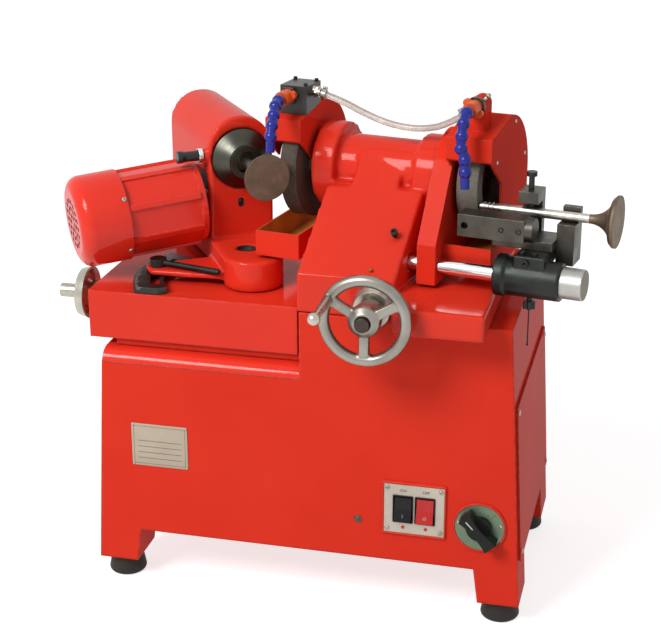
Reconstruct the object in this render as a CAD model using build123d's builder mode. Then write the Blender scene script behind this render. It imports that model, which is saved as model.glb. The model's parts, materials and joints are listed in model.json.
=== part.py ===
"""Bench valve refacer: a swivelling work head and a twin-wheel grinding head on a cast cabinet.

Millimetres. X runs to the right along the cabinet front, Y to the back, Z up.
The origin lies on the floor under the middle of the cabinet.
"""

import os
from math import asin, atan2, cos, hypot, pi, radians, sin, sqrt, tan

from build123d import *

os.makedirs("parts", exist_ok=True)

# Clearances
RUNNING_GAP = 0.3
SHAFT_GAP = 0.05
SEAT_GAP = 0.05

# Spindle height shared by the two heads, and the angles that they stand at
SPINDLE_HEIGHT = 508.0
WHEEL_SKEW = 10.0
FACE_ANGLE = 45.0

# Cabinet, whose bed and table lie below the spindles
BASE_WIDTH = 520.0
BASE_DEPTH = 290.0
SIDE_DRAFT = 3.4
CABINET_WALL = 8.0
CABINET_TOP = 12.0
FLOOR_PLATE = 6.0
FOOT_HEIGHT = 28.0
FOOT_RADIUS = 24.0
FOOT_NECK = 19.0
FOOT_ROUND = 5.0
FOOT_INSET_X = 25.0
FOOT_INSET_Y = 28.0
LEG_HEIGHT = 43.5
LEG_GAP_WIDTH = 410.0
LEG_GAP_FLARE = 6.0
LEG_DEPTH = 60.0
BED_DROP = 202.0
BED_LEVEL = SPINDLE_HEIGHT - BED_DROP
BED_EDGE_DROP = 14.0
BED_EDGE_RUN = 22.0
TABLE_DROP = 135.0
TABLE_LEVEL = SPINDLE_HEIGHT - TABLE_DROP
STEP_X = -3.0

# Side cover
COVER_THICKNESS = 2.5
COVER_LOW = 84.0
COVER_HIGH = 276.0
COVER_DEPTH = 268.0
COVER_LAP = 16.0

# Switches on the cabinet front
SWITCH_INSET = 126.0
SWITCH_X = BASE_WIDTH / 2 - SWITCH_INSET
SWITCH_Z = 141.0
SWITCH_WIDTH = 71.0
SWITCH_HEIGHT = 62.0
PLATE_THICKNESS = 2.0
ROCKER_SPACING = 26.0
ROCKER_WIDTH = 20.0
ROCKER_HEIGHT = 29.0
ROCKER_PROUD = 5.5
ROCKER_DIP = 1.1
ROCKER_DEPTH = 7.0
ROCKER_GAP = 1.8
ROCKER_PIVOT_DEPTH = 4.0
ROCKER_PIN_RADIUS = 1.5
ROCKER_PIN_SEAT = 1.0
ROTARY_INSET = 49.0
ROTARY_X = BASE_WIDTH / 2 - ROTARY_INSET
ROTARY_Z = 128.0
ROTARY_RADIUS = 28.5
ROTARY_KNOB_LENGTH = 47.0
ROTARY_KNOB_WIDTH = 17.0
ROTARY_KNOB_WAIST = 11.0
ROTARY_KNOB_HEIGHT = 17.0
ROTARY_HUB_RADIUS = 15.0
ROTARY_HUB_HEIGHT = 5.0
ROTARY_KNOB_TILT = -48.0
ROTARY_SHAFT_RADIUS = 4.0

# Carriage
CARRIAGE_LEFT = -263.0
CARRIAGE_RIGHT = -9.0
CARRIAGE_FRONT = -130.0
CARRIAGE_REAR = 105.0
CARRIAGE_STAND = 9.0
CARRIAGE_LOW = BED_LEVEL + CARRIAGE_STAND
CARRIAGE_HEIGHT = 58.0
CARRIAGE_TOP = CARRIAGE_LOW + CARRIAGE_HEIGHT
CARRIAGE_END_WALL = 14.0
CARRIAGE_SIDE_WALL = 30.0
CARRIAGE_ROOF = 12.0
CARRIAGE_WAY_WIDTH = 20.0
CARRIAGE_WAY_INSET = 5.0
CARRIAGE_WAY_LEFT = -232.0
TRAVERSE_Y = -60.0
TRAVERSE_RISE = 29.0
TRAVERSE_Z = CARRIAGE_LOW + TRAVERSE_RISE
TRAVERSE_SCREW_RADIUS = 8.0
TRAVERSE_NUT_X = -205.0
NUT_LENGTH = 28.0
NUT_WALL = 6.0
TRAVERSE_WHEEL_RADIUS = 32.0
TRAVERSE_WHEEL_WIDTH = 11.0
TRAVERSE_WHEEL_STAND = 25.0
TRAVERSE_KNOB_RADIUS = 8.5
TRAVERSE_KNOB_LENGTH = 22.0
TRAVERSE_HUB_RADIUS = 13.0

# Work head
PIVOT_X = -80.0
PIVOT_Y = -62.0
WORK_OFFSET = 10.0
PIVOT_PIN_RADIUS = 12.0
PIVOT_PIN_HEIGHT = 24.0
BOSS_RADIUS = 35.5
BOSS_HEIGHT = 37.0
BOSS_TOP = CARRIAGE_TOP + BOSS_HEIGHT
BOSS_HOLE_RADIUS = 11.5
BOSS_HOLE_BACK = 26.0
BOSS_HOLE_DEPTH = 8.0
HEAD_FRONT = -70.0
HEAD_REAR = -236.0
HEAD_HALF_WIDTH = 40.0
HEAD_LIFT = 11.0
HEAD_WALL = 12.0
HEAD_HOLLOW_FRONT = -136.0
HEAD_HOLLOW_DROP = 46.0
SECTOR_THICKNESS = 8.0
SECTOR_OUTER = 142.0
SECTOR_INNER = 106.0
SECTOR_START = 152.0
SECTOR_SWEEP = 62.0
SECTOR_FRONT_MARGIN = 2.0
WING_THICKNESS = 7.0
WING_MARGIN = 13.0
CLAMP_RADIUS = 117.0
CLAMP_BEARING = 238.0
CLAMP_STUD_RADIUS = 5.0
CLAMP_SLOT_SWEEP = 46.0
CLAMP_HUB_RADIUS = 10.0
CLAMP_HUB_HEIGHT = 9.0
CLAMP_LEVER_LENGTH = 83.0
CLAMP_LEVER_RADIUS = 3.6
CLAMP_LEVER_ANGLE = 41.0
WORK_BORE = 20.0
WORK_BEARING_RADIUS = 31.0
WORK_BEARING_WIDTH = 13.0
WORK_BEARING_SETBACK = 1.0
WORK_BEARING_INSET = 6.0
WORK_SPINDLE_RADIUS = 15.0
WORK_SPINDLE_INSET = 2.0
WORM_ALONG = -102.0
WORM_DROP = 51.0
WORM_LENGTH = 44.0
WORM_WHEEL_RADIUS = 33.0
WORM_WHEEL_WIDTH = 18.0
WORM_ROOM = 2.5
MESH_GAP = 0.6
CHUCK_RADIUS = 36.0
CHUCK_RECESS = 6.0
CHUCK_LIP = 7.0
CHUCK_NOSE_RADIUS = 20.0
CHUCK_NOSE_FRONT = -48.0
CHUCK_MOUTH_RADIUS = 13.0
CHUCK_MOUTH_DEPTH = 10.0
WORK_VALVE_FRONT = 26.0
VALVE_HEAD_RADIUS = 27.0
VALVE_RIM = 3.0
VALVE_SEAT = 3.5
VALVE_TULIP = 22.0
TULIP_BOW_PLACE = 0.36
TULIP_BOW_RISE = 0.19
VALVE_STEM_RADIUS = 5.3
VALVE_STEM_GRIP = -62.0
PLUNGER_ALONG = -78.0
PLUNGER_UP = 6.0
PLUNGER_COLLAR_RADIUS = 7.5
PLUNGER_COLLAR_LENGTH = 6.0
PLUNGER_RADIUS = 6.2
PLUNGER_END_RADIUS = 7.4
PLUNGER_LENGTH = 31.0
PLUNGER_KNOB_RUN = 5.0
PLUNGER_PIN_RADIUS = 3.5
PLUNGER_PIN_DEPTH = 2.0

# Work head motor
ADAPTER_WIDTH = 44.0
ADAPTER_HEIGHT = 77.0
ADAPTER_BORE = 20.0
MOTOR_TILT = 5.0
MOTOR_FACE = 47.5
MOTOR_FLANGE_RADIUS = 50.0
MOTOR_FLANGE_WIDTH = 7.0
MOTOR_BODY_RADIUS = 48.0
MOTOR_BODY_LENGTH = 95.0
MOTOR_RIB_COUNT = 8
MOTOR_RIB_HEIGHT = 5.0
MOTOR_RIB_WIDTH = 7.0
MOTOR_END_WALL = 14.0
ROTOR_RADIUS = 30.0
ROTOR_AIR_GAP = 1.0
ROTOR_SHAFT_RADIUS = 7.0
COWL_RADIUS = 55.0
COWL_WALL = 2.5
COWL_LENGTH = 59.0
COWL_LAP = 7.0
COWL_ROUND = 16.0
COWL_VENT_RADIUS = 3.2
COWL_VENT_PITCH = 9.2
COWL_VENT_RING_COUNT = 3
COWL_VENT_STEP = 6
FAN_RADIUS = 44.0
FAN_HUB_RADIUS = 12.0
FAN_WIDTH = 16.0
FAN_BLADE = 3.0
FAN_BLADE_COUNT = 6

# Wheel head casting
WHEEL_X = 55.0
WHEEL_Y = 0.0
COLUMN_FRONT = -145.0
COLUMN_REAR = 105.0
CREASE_DROP = 90.0
COLUMN_CREASE = SPINDLE_HEIGHT - CREASE_DROP
COLUMN_LEFT = -35.0
COLUMN_RIGHT = 76.0
COLUMN_WALL = 12.0
SHOULDER_DROP = 9.0
SHOULDER_LEFT = -8.0
SHOULDER_RIGHT = 46.0
SADDLE_LEFT = -6.0
SADDLE_RIGHT = 214.0
SADDLE_HEIGHT = 30.0
SADDLE_TOP = TABLE_LEVEL + SADDLE_HEIGHT
SADDLE_GAP = 0.4
SADDLE_WING_LEFT = 112.0
SADDLE_WING_FRONT = -193.0
BARREL_RADIUS = 37.0
LEFT_FLANGE_RADIUS = 50.0
LEFT_FLANGE_START = -64.0
LEFT_FLANGE_END = -36.0
RIGHT_FLANGE_RADIUS = 46.0
RIGHT_FLANGE_START = 60.0
RIGHT_FLANGE_END = 88.0
TABLE_WAY_LEFT = 10.0
TABLE_WAY_RIGHT = 206.0
TABLE_WAY_WIDTH = 18.0
TABLE_WAY_HEIGHT = 8.0
TABLE_WAY_REAR = 137.0
TABLE_WAY_END_ROOM = 3.0

# Wheel spindle and its drive
SPINDLE_RADIUS = 14.0
SPINDLE_BORE = 20.0
BEARING_RADIUS = 30.0
BEARING_WIDTH = 20.0
BEARING_SETBACK = 4.0
PULLEY_ALONG = 10.0
PULLEY_WIDTH = 16.0
PULLEY_RADIUS = 20.0
PULLEY_ROOM = 7.0
BELT_WIDTH = 11.0
BELT_THICKNESS = 4.0
MOTOR_PULLEY_RADIUS = 32.0
WHEEL_MOTOR_DROP = 232.0
WHEEL_MOTOR_RADIUS = 54.0
WHEEL_MOTOR_START = 42.0
WHEEL_MOTOR_SIDE_ROOM = 41.0
WHEEL_MOTOR_LENGTH = BASE_WIDTH / 2 - WHEEL_X - WHEEL_MOTOR_START - WHEEL_MOTOR_SIDE_ROOM
WHEEL_MOTOR_SHAFT_RADIUS = 7.0
WHEEL_MOTOR_FOOT_START = 70.0
WHEEL_MOTOR_FOOT_LENGTH = 52.0
WHEEL_MOTOR_FOOT_HALF = 25.0
SLOT_ROOM = 3.0

# Wheels
GRIND_RADIUS = 66.0
GRIND_START = -95.0
GRIND_WIDTH = 20.0
WHEEL_FLANGE_RADIUS = 30.0
WHEEL_FLANGE_WIDTH = 5.0
SPINDLE_NUT_RADIUS = 15.0
SPINDLE_NUT_WIDTH = 9.0
CUP_RADIUS = 55.0
CUP_START = 116.0
CUP_FACE = 142.0
CUP_RIM = 17.0
CUP_BACK = 10.0
CUP_TAPER = 4.0

# Guards and trays
GUARD_WALL = 3.0
GUARD_RADIUS = 76.0
GUARD_FRONT = -64.0
GUARD_CHIN = 37.0
GUARD_BROW = 62.0
GUARD_RIDGE = 4.0
GUARD_JAW = -22.0
LEFT_GUARD_START = -114.0
LEFT_GUARD_END = -69.0
RIGHT_GUARD_END = 160.0
RIGHT_GUARD_FOOT = -84.0
LUG_HALF = 14.0
LUG_LOW = 36.0
LUG_HIGH = 47.0
ARM_START = 88.0
ARM_END = 110.0
ARM_HUB_RADIUS = 56.0
ARM_FRONT = -98.0
ARM_KNEE = -55.0
ARM_FOOT = -101.0
ARM_BACK = -62.0
ARM_BACK_LEAN = 20.0
TRAY_WALL = 2.0
LEFT_TRAY_START = -113.0
LEFT_TRAY_END = -58.0
LEFT_TRAY_FRONT = -96.0
LEFT_TRAY_REAR = 78.0
LEFT_TRAY_TOP = -64.0
LEFT_TRAY_LOW = -94.0
TRAY_BRACKET_HALF = 30.0
RIGHT_TRAY_END = 166.0
RIGHT_TRAY_FRONT = -73.0
RIGHT_TRAY_REAR = 82.0
RIGHT_TRAY_TOP = -59.0
RIGHT_TRAY_LOW = -86.0

# Cross feed
FEED_X = 87.5
FEED_RISE = 22.0
FEED_Z = TABLE_LEVEL + FEED_RISE
FEED_FORWARD = 2.0
FEED_BACKWARD = 50.0
FEED_SCREW_RADIUS = 8.0
FEED_SCREW_REAR = 60.0
FEED_NUT_Y = 0.0
FEED_BOSS_RADIUS = 20.0
FEED_BOSS_LENGTH = 7.0
COLLAR_RADIUS = 24.5
COLLAR_LENGTH = 25.0
COLLAR_BEVEL = 3.75
COLLAR_BEVEL_RUN = 10.0
COLLAR_ROOM = 2.5
HANDWHEEL_Y = -211.0
HANDWHEEL_RADIUS = 45.5
HANDWHEEL_RIM = 6.5
HANDWHEEL_HUB_RADIUS = 18.0
HANDWHEEL_HUB_BACK_RADIUS = 14.5
HANDWHEEL_HUB_FRONT_RADIUS = 11.0
HANDWHEEL_HUB_FRONT = 11.0
HANDWHEEL_NUT_RADIUS = 8.0
HANDWHEEL_NUT_LENGTH = 5.0
SPOKE_COUNT = 3
SPOKE_WIDTH = 11.0
SPOKE_THICKNESS = 9.0
SPOKE_START_ANGLE = 30.0
HANDLE_ANGLE = 150.0
HANDLE_LENGTH = 66.0
HANDLE_ROOT_RADIUS = 6.0
HANDLE_NECK_RADIUS = 4.2
HANDLE_BALL_RADIUS = 7.2
HANDLE_PIN_RADIUS = 2.5
HANDLE_PIN_LENGTH = 50.0

# Stem grinding attachment
BAR_BACK = -85.0
BAR_UP = -81.0
BAR_RADIUS = 9.0
BAR_START = 52.0
BAR_END = 240.0
CLAMP_START = 178.0
CLAMP_END = 252.0
CLAMP_BODY_RADIUS = 21.5
CLAMP_COLLAR_RADIUS = 23.5
CLAMP_COLLAR_WIDTH = 12.0
BRACKET_START = 200.0
BRACKET_FRONT = -101.0
BRACKET_BACK = -34.0
BRACKET_LOW = -66.0
BRACKET_TOP = -52.0
KNOB_RADIUS = 17.5
KNOB_LENGTH = 25.0
KNOB_CHAMFER = 1.5
LOCK_KNOB_ALONG = 216.0
LOCK_KNOB_RADIUS = 7.0
LOCK_KNOB_LENGTH = 9.0
LOCK_STEM_RADIUS = 3.0
LOCK_STEM_LENGTH = 4.0
LOCK_LOBE_COUNT = 5
LOCK_LOBE_RADIUS = 2.4
STEM_BACK = -45.0
STEM_UP = -18.0
STEM_TIP = 143.6
STEM_VALVE_LENGTH = 156.0
STEM_HEAD_RADIUS = 29.0
STEM_TULIP = 26.0
STEM_FEED_IN = 0.5
KEEPER_START = 5.0
KEEPER_WIDTH = 3.0
KEEPER_PITCH = 5.0
KEEPER_COUNT = 3
KEEPER_DEPTH = 0.9
SLIDE_GAP = 0.4
SLIDE_START = 168.0
SLIDE_FRONT = -76.0
SLIDE_END = 236.0
SLIDE_THICKNESS = 10.0
VBLOCK_START = 131.0
VBLOCK_END = 207.0
VBLOCK_FRONT = -88.0
VBLOCK_BACK = -63.0
VBLOCK_LOW = -42.0
VBLOCK_TOP = -17.0
VBLOCK_REST_BACK = -34.0
VBLOCK_REST_TOP = -23.0
VBLOCK_HOLE_RADIUS = 4.0
VBLOCK_HOLE_INSET = 8.0
ROLLER_RADIUS = 13.5
ROLLER_WIDTH = 9.0
YOKE_START = 190.0
YOKE_END = 212.0
YOKE_POST_BACK = -26.0
YOKE_POST_FRONT = -36.0
YOKE_TOP = 7.0
YOKE_HEAD_LOW = -6.0
YOKE_HEAD_FRONT = -56.0
THUMB_RADIUS = 3.2
THUMB_HEAD_RADIUS = 5.8
THUMB_HEAD_HEIGHT = 5.0
THUMB_TOP = 28.0
REST_START = 236.0
REST_END = 256.0
REST_FRONT = -60.0
REST_BACK = -30.0
REST_LOW = -70.0
REST_SHOULDER = -24.0
REST_EAR_TOP = -9.0
REST_EAR_FRONT = -38.0

# Coolant
BLOCK_START = -102.0
BLOCK_END = -69.0
BLOCK_FRONT = -48.0
BLOCK_BACK = -8.0
BLOCK_TOP = 98.5
FITTING_RADIUS = 5.5
FITTING_LENGTH = 16.0
POST_START = 124.0
POST_WIDTH = 20.0
POST_FRONT = -44.0
POST_BACK = -20.0
POST_TOP = 104.0
TAP_RADIUS = 8.5
TAP_LENGTH = 24.0
TAP_WING_LENGTH = 27.0
TAP_WING_WIDTH = 9.0
TAP_WING_THICKNESS = 5.0
TAP_WING_STAND = 8.0
LEFT_TAP_TURN = 20.0
RIGHT_TAP_TURN = 140.0
LEFT_TAP_ALONG = -90.0
LEFT_TAP_UP = 87.0
NOZZLE_RADIUS = 7.2
NOZZLE_WAIST = 5.4
NOZZLE_STAND = 1.2
NOZZLE_SPIGOT_RADIUS = 3.6
NOZZLE_SPIGOT_LENGTH = 9.0
NOZZLE_TIP_RADIUS = 5.0
NOZZLE_TIP_LENGTH = 11.0
LEFT_BEAD_COUNT = 5
RIGHT_BEAD_COUNT = 6
LEFT_NOZZLE_BENDS = ((3.0, -20.0, -4.0), (7.0, -35.0, -18.0), (8.0, -43.0, -39.0))
RIGHT_NOZZLE_BENDS = ((0.0, -15.0, -8.0), (0.0, -21.0, -40.0), (5.0, -21.0, -70.0))
HOSE_RADIUS = 3.8
HOSE_BEND_SHARE = 0.45
HOSE_ROUTE = (
    (-60.0, -28.0, 88.5),
    (-35.0, -28.0, 82.5),
    (-7.0, -28.0, 70.5),
    (20.0, -28.0, 61.5),
    (48.0, -28.0, 57.5),
    (75.0, -28.0, 59.5),
    (98.0, -29.0, 68.0),
    (118.0, -30.0, 81.0),
)

# Tank and pump inside the cabinet
TANK_LEFT = -215.0
TANK_RIGHT = -10.0
TANK_HALF_DEPTH = 112.0
TANK_SHARE = 0.4157
TANK_WALL = 2.5
PUMP_X = -62.0
PUMP_RADIUS = 32.0
PUMP_FLANGE = 6.0
PUMP_SHARE = 0.3603
PUMP_STEM_RADIUS = 16.0
PUMP_STEM_ROOM = 20.0

# Directions of the two heads, and planes and points that follow them
UP = Vector(0, 0, 1)


def turned(angle):
    """The level direction that points to the right and swings to the front by the angle."""
    return Vector(cos(radians(angle)), -sin(radians(angle)), 0)


WHEEL_ALONG = turned(WHEEL_SKEW)
WHEEL_BACK = Vector(-WHEEL_ALONG.Y, WHEEL_ALONG.X, 0)
WORK_ALONG = turned(WHEEL_SKEW + FACE_ANGLE)
WORK_ACROSS = Vector(-WORK_ALONG.Y, WORK_ALONG.X, 0)


def wheel_run(along, back, up):
    """A step along the directions of the wheel head."""
    return WHEEL_ALONG * along + WHEEL_BACK * back + UP * up


def wheel_at(along=0.0, back=0.0, up=0.0):
    """A point of the wheel head, measured from the middle of its spindle."""
    return Vector(WHEEL_X, WHEEL_Y, SPINDLE_HEIGHT) + wheel_run(along, back, up)


def wheel_across(along):
    """Plane square to the wheel spindle: its axes run back and up."""
    return Plane(origin=wheel_at(along), x_dir=WHEEL_BACK, z_dir=WHEEL_ALONG)


def wheel_facing(back):
    """Upright plane that looks to the operator: its axes run along the spindle and up."""
    return Plane(origin=wheel_at(0, back), x_dir=WHEEL_ALONG, z_dir=-WHEEL_BACK)


def wheel_level(up):
    """Level plane of the wheel head: its axes run along the spindle and back."""
    return Plane(origin=wheel_at(0, 0, up), x_dir=WHEEL_ALONG, z_dir=UP)


def work_at(along=0.0, across=0.0, up=0.0):
    """A point of the work head, measured from its spindle beside the pivot."""
    centre = Vector(PIVOT_X, PIVOT_Y, SPINDLE_HEIGHT) + WORK_ACROSS * WORK_OFFSET
    return centre + WORK_ALONG * along + WORK_ACROSS * across + UP * up


def work_square(along):
    """Plane square to the work spindle: its axes run across and up."""
    return Plane(origin=work_at(along), x_dir=WORK_ACROSS, z_dir=WORK_ALONG)


def work_side(across):
    """Upright plane that looks out of the motor side: its axes run along the spindle and up."""
    return Plane(origin=work_at(0, across), x_dir=WORK_ALONG, z_dir=-WORK_ACROSS)


def work_level(level):
    """Level plane of the work head at a height over the floor."""
    return Plane(origin=work_at(0, 0, level - SPINDLE_HEIGHT), x_dir=WORK_ALONG, z_dir=UP)


WHEEL_AXIS = Axis(wheel_at(), WHEEL_ALONG)
WORK_AXIS = Axis(work_at(), WORK_ALONG)
MOTOR_CENTRE = work_at(WORM_ALONG, 0, -WORM_DROP)
MOTOR_LINE = WORK_ACROSS * -cos(radians(MOTOR_TILT)) - UP * sin(radians(MOTOR_TILT))
MOTOR_AXIS = Axis(MOTOR_CENTRE, MOTOR_LINE)
PIVOT_SPOT = (0, -WORK_OFFSET)
FEED_AXIS = Axis((FEED_X, 0, FEED_Z), (0, 1, 0))
BAR_AXIS = Axis(wheel_at(0, BAR_BACK, BAR_UP), WHEEL_ALONG)
STEM_AXIS = Axis(wheel_at(0, STEM_BACK, STEM_UP), WHEEL_ALONG)


def outline(plane, *points):
    """A face on the plane, bounded by straight edges through the points."""
    with BuildSketch(plane) as face:
        with BuildLine():
            Polyline(*points, close=True)
        make_face()
    return face.sketch


def panel(plane, left, right, low, high):
    """A rectangular face on the plane."""
    return outline(plane, (left, low), (right, low), (right, high), (left, high))


def disc(plane, radius, *centres):
    """Round faces on the plane, at its origin or at the centres."""
    with BuildSketch(plane) as face:
        with Locations(*(centres or [(0, 0)])):
            Circle(radius)
    return face.sketch


def save(piece, name):
    """Label the finished piece and write it."""
    piece.part.label = name
    export_step(piece.part, f"parts/{name}.step")


def half_width(level):
    """Half of the cabinet's width at a height: the sides lean out towards the floor."""
    return BASE_WIDTH / 2 - (level - FOOT_HEIGHT) * tan(radians(SIDE_DRAFT))


# Base cabinet
FLOOR_LEVEL = FOOT_HEIGHT + LEG_HEIGHT
BASE_FRONT = -BASE_DEPTH / 2


def cabinet_profile(wall, floor, bed, table):
    """Front outline of the cabinet, drawn in by a wall: low bed at the left, table at the right."""
    return (
        (-half_width(floor) + wall, floor),
        (half_width(floor) - wall, floor),
        (half_width(table) - wall, table),
        (STEP_X + wall, table),
        (STEP_X + wall, bed),
        (-half_width(bed) + wall, bed),
    )


def table_slot(plane, start, end, half):
    """Slot for a piece of the wheel head that passes through the table, over the whole feed travel."""
    corners = [wheel_at(along, back) for along in (start, end) for back in (-half, half)]
    left = min(corner.X for corner in corners) - SLOT_ROOM
    right = max(corner.X for corner in corners) + SLOT_ROOM
    near = min(corner.Y for corner in corners) - FEED_FORWARD - SLOT_ROOM
    far = max(corner.Y for corner in corners) + FEED_BACKWARD + SLOT_ROOM
    return panel(plane, left, right, near, far)


with BuildPart() as base_cabinet:
    extrude(
        outline(Plane.XZ, *cabinet_profile(0, FOOT_HEIGHT, BED_LEVEL, TABLE_LEVEL)),
        amount=BASE_DEPTH / 2,
        both=True,
    )
    inside = cabinet_profile(
        CABINET_WALL, FLOOR_LEVEL + FLOOR_PLATE, BED_LEVEL - CABINET_TOP, TABLE_LEVEL - CABINET_TOP
    )
    extrude(outline(Plane.XZ, *inside), amount=BASE_DEPTH / 2 - CABINET_WALL, both=True, mode=Mode.SUBTRACT)
    # Sloping front edge of the bed
    bed_edge = outline(
        Plane.YZ.offset(-BASE_WIDTH / 2),
        (BASE_FRONT, BED_LEVEL - BED_EDGE_DROP),
        (BASE_FRONT + BED_EDGE_RUN, BED_LEVEL),
        (BASE_FRONT, BED_LEVEL),
    )
    extrude(bed_edge, amount=BASE_WIDTH / 2 + STEP_X, mode=Mode.SUBTRACT)
    # Gaps between the legs
    leg_gap = outline(
        Plane.XZ,
        (-LEG_GAP_WIDTH / 2 - LEG_GAP_FLARE, FOOT_HEIGHT),
        (LEG_GAP_WIDTH / 2 + LEG_GAP_FLARE, FOOT_HEIGHT),
        (LEG_GAP_WIDTH / 2, FLOOR_LEVEL),
        (-LEG_GAP_WIDTH / 2, FLOOR_LEVEL),
    )
    extrude(leg_gap, amount=BASE_DEPTH / 2, both=True, mode=Mode.SUBTRACT)
    with Locations((0, 0, FOOT_HEIGHT)):
        Box(
            BASE_WIDTH,
            BASE_DEPTH - 2 * LEG_DEPTH,
            LEG_HEIGHT,
            align=(Align.CENTER, Align.CENTER, Align.MIN),
            mode=Mode.SUBTRACT,
        )
    # Slots in the table for the belt and for the motor's foot
    table = Plane.XY.offset(TABLE_LEVEL)
    belt_half = MOTOR_PULLEY_RADIUS + RUNNING_GAP
    foot_end = WHEEL_MOTOR_FOOT_START + WHEEL_MOTOR_FOOT_LENGTH
    extrude(
        table_slot(table, PULLEY_ALONG - BELT_WIDTH / 2, PULLEY_ALONG + BELT_WIDTH / 2, belt_half),
        amount=-CABINET_TOP,
        mode=Mode.SUBTRACT,
    )
    extrude(
        table_slot(table, WHEEL_MOTOR_FOOT_START, foot_end, WHEEL_MOTOR_FOOT_HALF),
        amount=-CABINET_TOP,
        mode=Mode.SUBTRACT,
    )
    # Trough in the table's front edge, for the feed collar at the back of its travel
    front = Plane.XZ.offset(-BASE_FRONT)
    trough = disc(front, COLLAR_RADIUS + COLLAR_ROOM, (FEED_X, FEED_Z))
    extrude(trough, amount=-FEED_BACKWARD, mode=Mode.SUBTRACT)
    # Window behind the side cover
    window = panel(
        Plane.YZ.offset(half_width(TABLE_LEVEL) - CABINET_WALL - COVER_LAP),
        -COVER_DEPTH / 2 + COVER_LAP,
        COVER_DEPTH / 2 - COVER_LAP,
        COVER_LOW + COVER_LAP,
        COVER_HIGH - COVER_LAP,
    )
    extrude(window, amount=BASE_WIDTH / 2, mode=Mode.SUBTRACT)
    # Openings behind the switches
    rocker_room = 2 * ROCKER_GAP
    for side in (-1, 1):
        middle = SWITCH_X + side * ROCKER_SPACING / 2
        room = panel(
            front,
            middle - (ROCKER_WIDTH + rocker_room) / 2,
            middle + (ROCKER_WIDTH + rocker_room) / 2,
            SWITCH_Z - (ROCKER_HEIGHT + rocker_room) / 2,
            SWITCH_Z + (ROCKER_HEIGHT + rocker_room) / 2,
        )
        extrude(room, amount=-CABINET_WALL, mode=Mode.SUBTRACT)
    pin_reach = ROCKER_WIDTH / 2 + ROCKER_GAP + ROCKER_PIN_SEAT
    pin_half = ROCKER_SPACING / 2 + pin_reach + RUNNING_GAP
    pin_spot = (BASE_FRONT + ROCKER_PIVOT_DEPTH, SWITCH_Z)
    pin_hole = disc(Plane.YZ.offset(SWITCH_X - pin_half), ROCKER_PIN_RADIUS + SHAFT_GAP, pin_spot)
    extrude(pin_hole, amount=2 * pin_half, mode=Mode.SUBTRACT)
    shaft_hole = disc(front, ROTARY_SHAFT_RADIUS + RUNNING_GAP, (ROTARY_X, ROTARY_Z))
    extrude(shaft_hole, amount=-CABINET_WALL, mode=Mode.SUBTRACT)
save(base_cabinet, "base_cabinet")

# Side cover, lying on the leaning right side
with BuildPart() as side_cover:
    cover_section = outline(
        Plane.XZ,
        (half_width(COVER_LOW), COVER_LOW),
        (half_width(COVER_LOW) + COVER_THICKNESS, COVER_LOW),
        (half_width(COVER_HIGH) + COVER_THICKNESS, COVER_HIGH),
        (half_width(COVER_HIGH), COVER_HIGH),
    )
    extrude(cover_section, amount=COVER_DEPTH / 2, both=True)
save(side_cover, "side_cover")

# Rubber feet under the legs
with BuildPart() as rubber_feet:
    foot_span_x = BASE_WIDTH - 2 * FOOT_INSET_X
    foot_span_y = BASE_DEPTH - 2 * FOOT_INSET_Y
    with GridLocations(foot_span_x, foot_span_y, 2, 2):
        Cone(FOOT_RADIUS, FOOT_NECK, FOOT_HEIGHT, align=(Align.CENTER, Align.CENTER, Align.MIN))
    fillet(rubber_feet.edges().group_by(Axis.Z)[0], FOOT_ROUND)
save(rubber_feet, "rubber_feet")

# Switch plate with two windows for the rockers
with BuildPart() as switch_plate:
    plate_half = SWITCH_WIDTH / 2
    extrude(
        panel(
            front,
            SWITCH_X - plate_half,
            SWITCH_X + plate_half,
            SWITCH_Z - SWITCH_HEIGHT / 2,
            SWITCH_Z + SWITCH_HEIGHT / 2,
        ),
        amount=PLATE_THICKNESS,
    )
    for side in (-1, 1):
        with Locations((SWITCH_X + side * ROCKER_SPACING / 2, BASE_FRONT, SWITCH_Z)):
            Box(
                ROCKER_WIDTH + 2 * ROCKER_GAP,
                3 * PLATE_THICKNESS,
                ROCKER_HEIGHT + 2 * ROCKER_GAP,
                mode=Mode.SUBTRACT,
            )
save(switch_plate, "switch_plate")


def rocker(middle):
    """Rocker button on its pin, with its lower end pressed out and its upper end pressed in."""
    half = ROCKER_HEIGHT / 2
    face = BASE_FRONT - PLATE_THICKNESS
    profile = outline(
        Plane.YZ.offset(middle - ROCKER_WIDTH / 2),
        (face, SWITCH_Z + half),
        (face - ROCKER_DIP, SWITCH_Z),
        (face - ROCKER_PROUD, SWITCH_Z - half),
        (BASE_FRONT + ROCKER_DEPTH / 2, SWITCH_Z - half),
        (BASE_FRONT + ROCKER_DEPTH, SWITCH_Z),
        (BASE_FRONT + ROCKER_DEPTH / 2, SWITCH_Z + half),
    )
    with BuildPart() as button:
        extrude(profile, amount=ROCKER_WIDTH)
        pin_end = disc(Plane.YZ.offset(middle - pin_reach), ROCKER_PIN_RADIUS, pin_spot)
        extrude(pin_end, amount=2 * pin_reach)
    return button


save(rocker(SWITCH_X - ROCKER_SPACING / 2), "black_rocker")
save(rocker(SWITCH_X + ROCKER_SPACING / 2), "red_rocker")

# Rotary switch: round plate and knob
with BuildPart() as rotary_plate:
    extrude(disc(front, ROTARY_RADIUS, (ROTARY_X, ROTARY_Z)), amount=PLATE_THICKNESS)
    extrude(
        disc(front, ROTARY_SHAFT_RADIUS + RUNNING_GAP, (ROTARY_X, ROTARY_Z)),
        amount=PLATE_THICKNESS,
        mode=Mode.SUBTRACT,
    )
save(rotary_plate, "rotary_plate")

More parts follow.
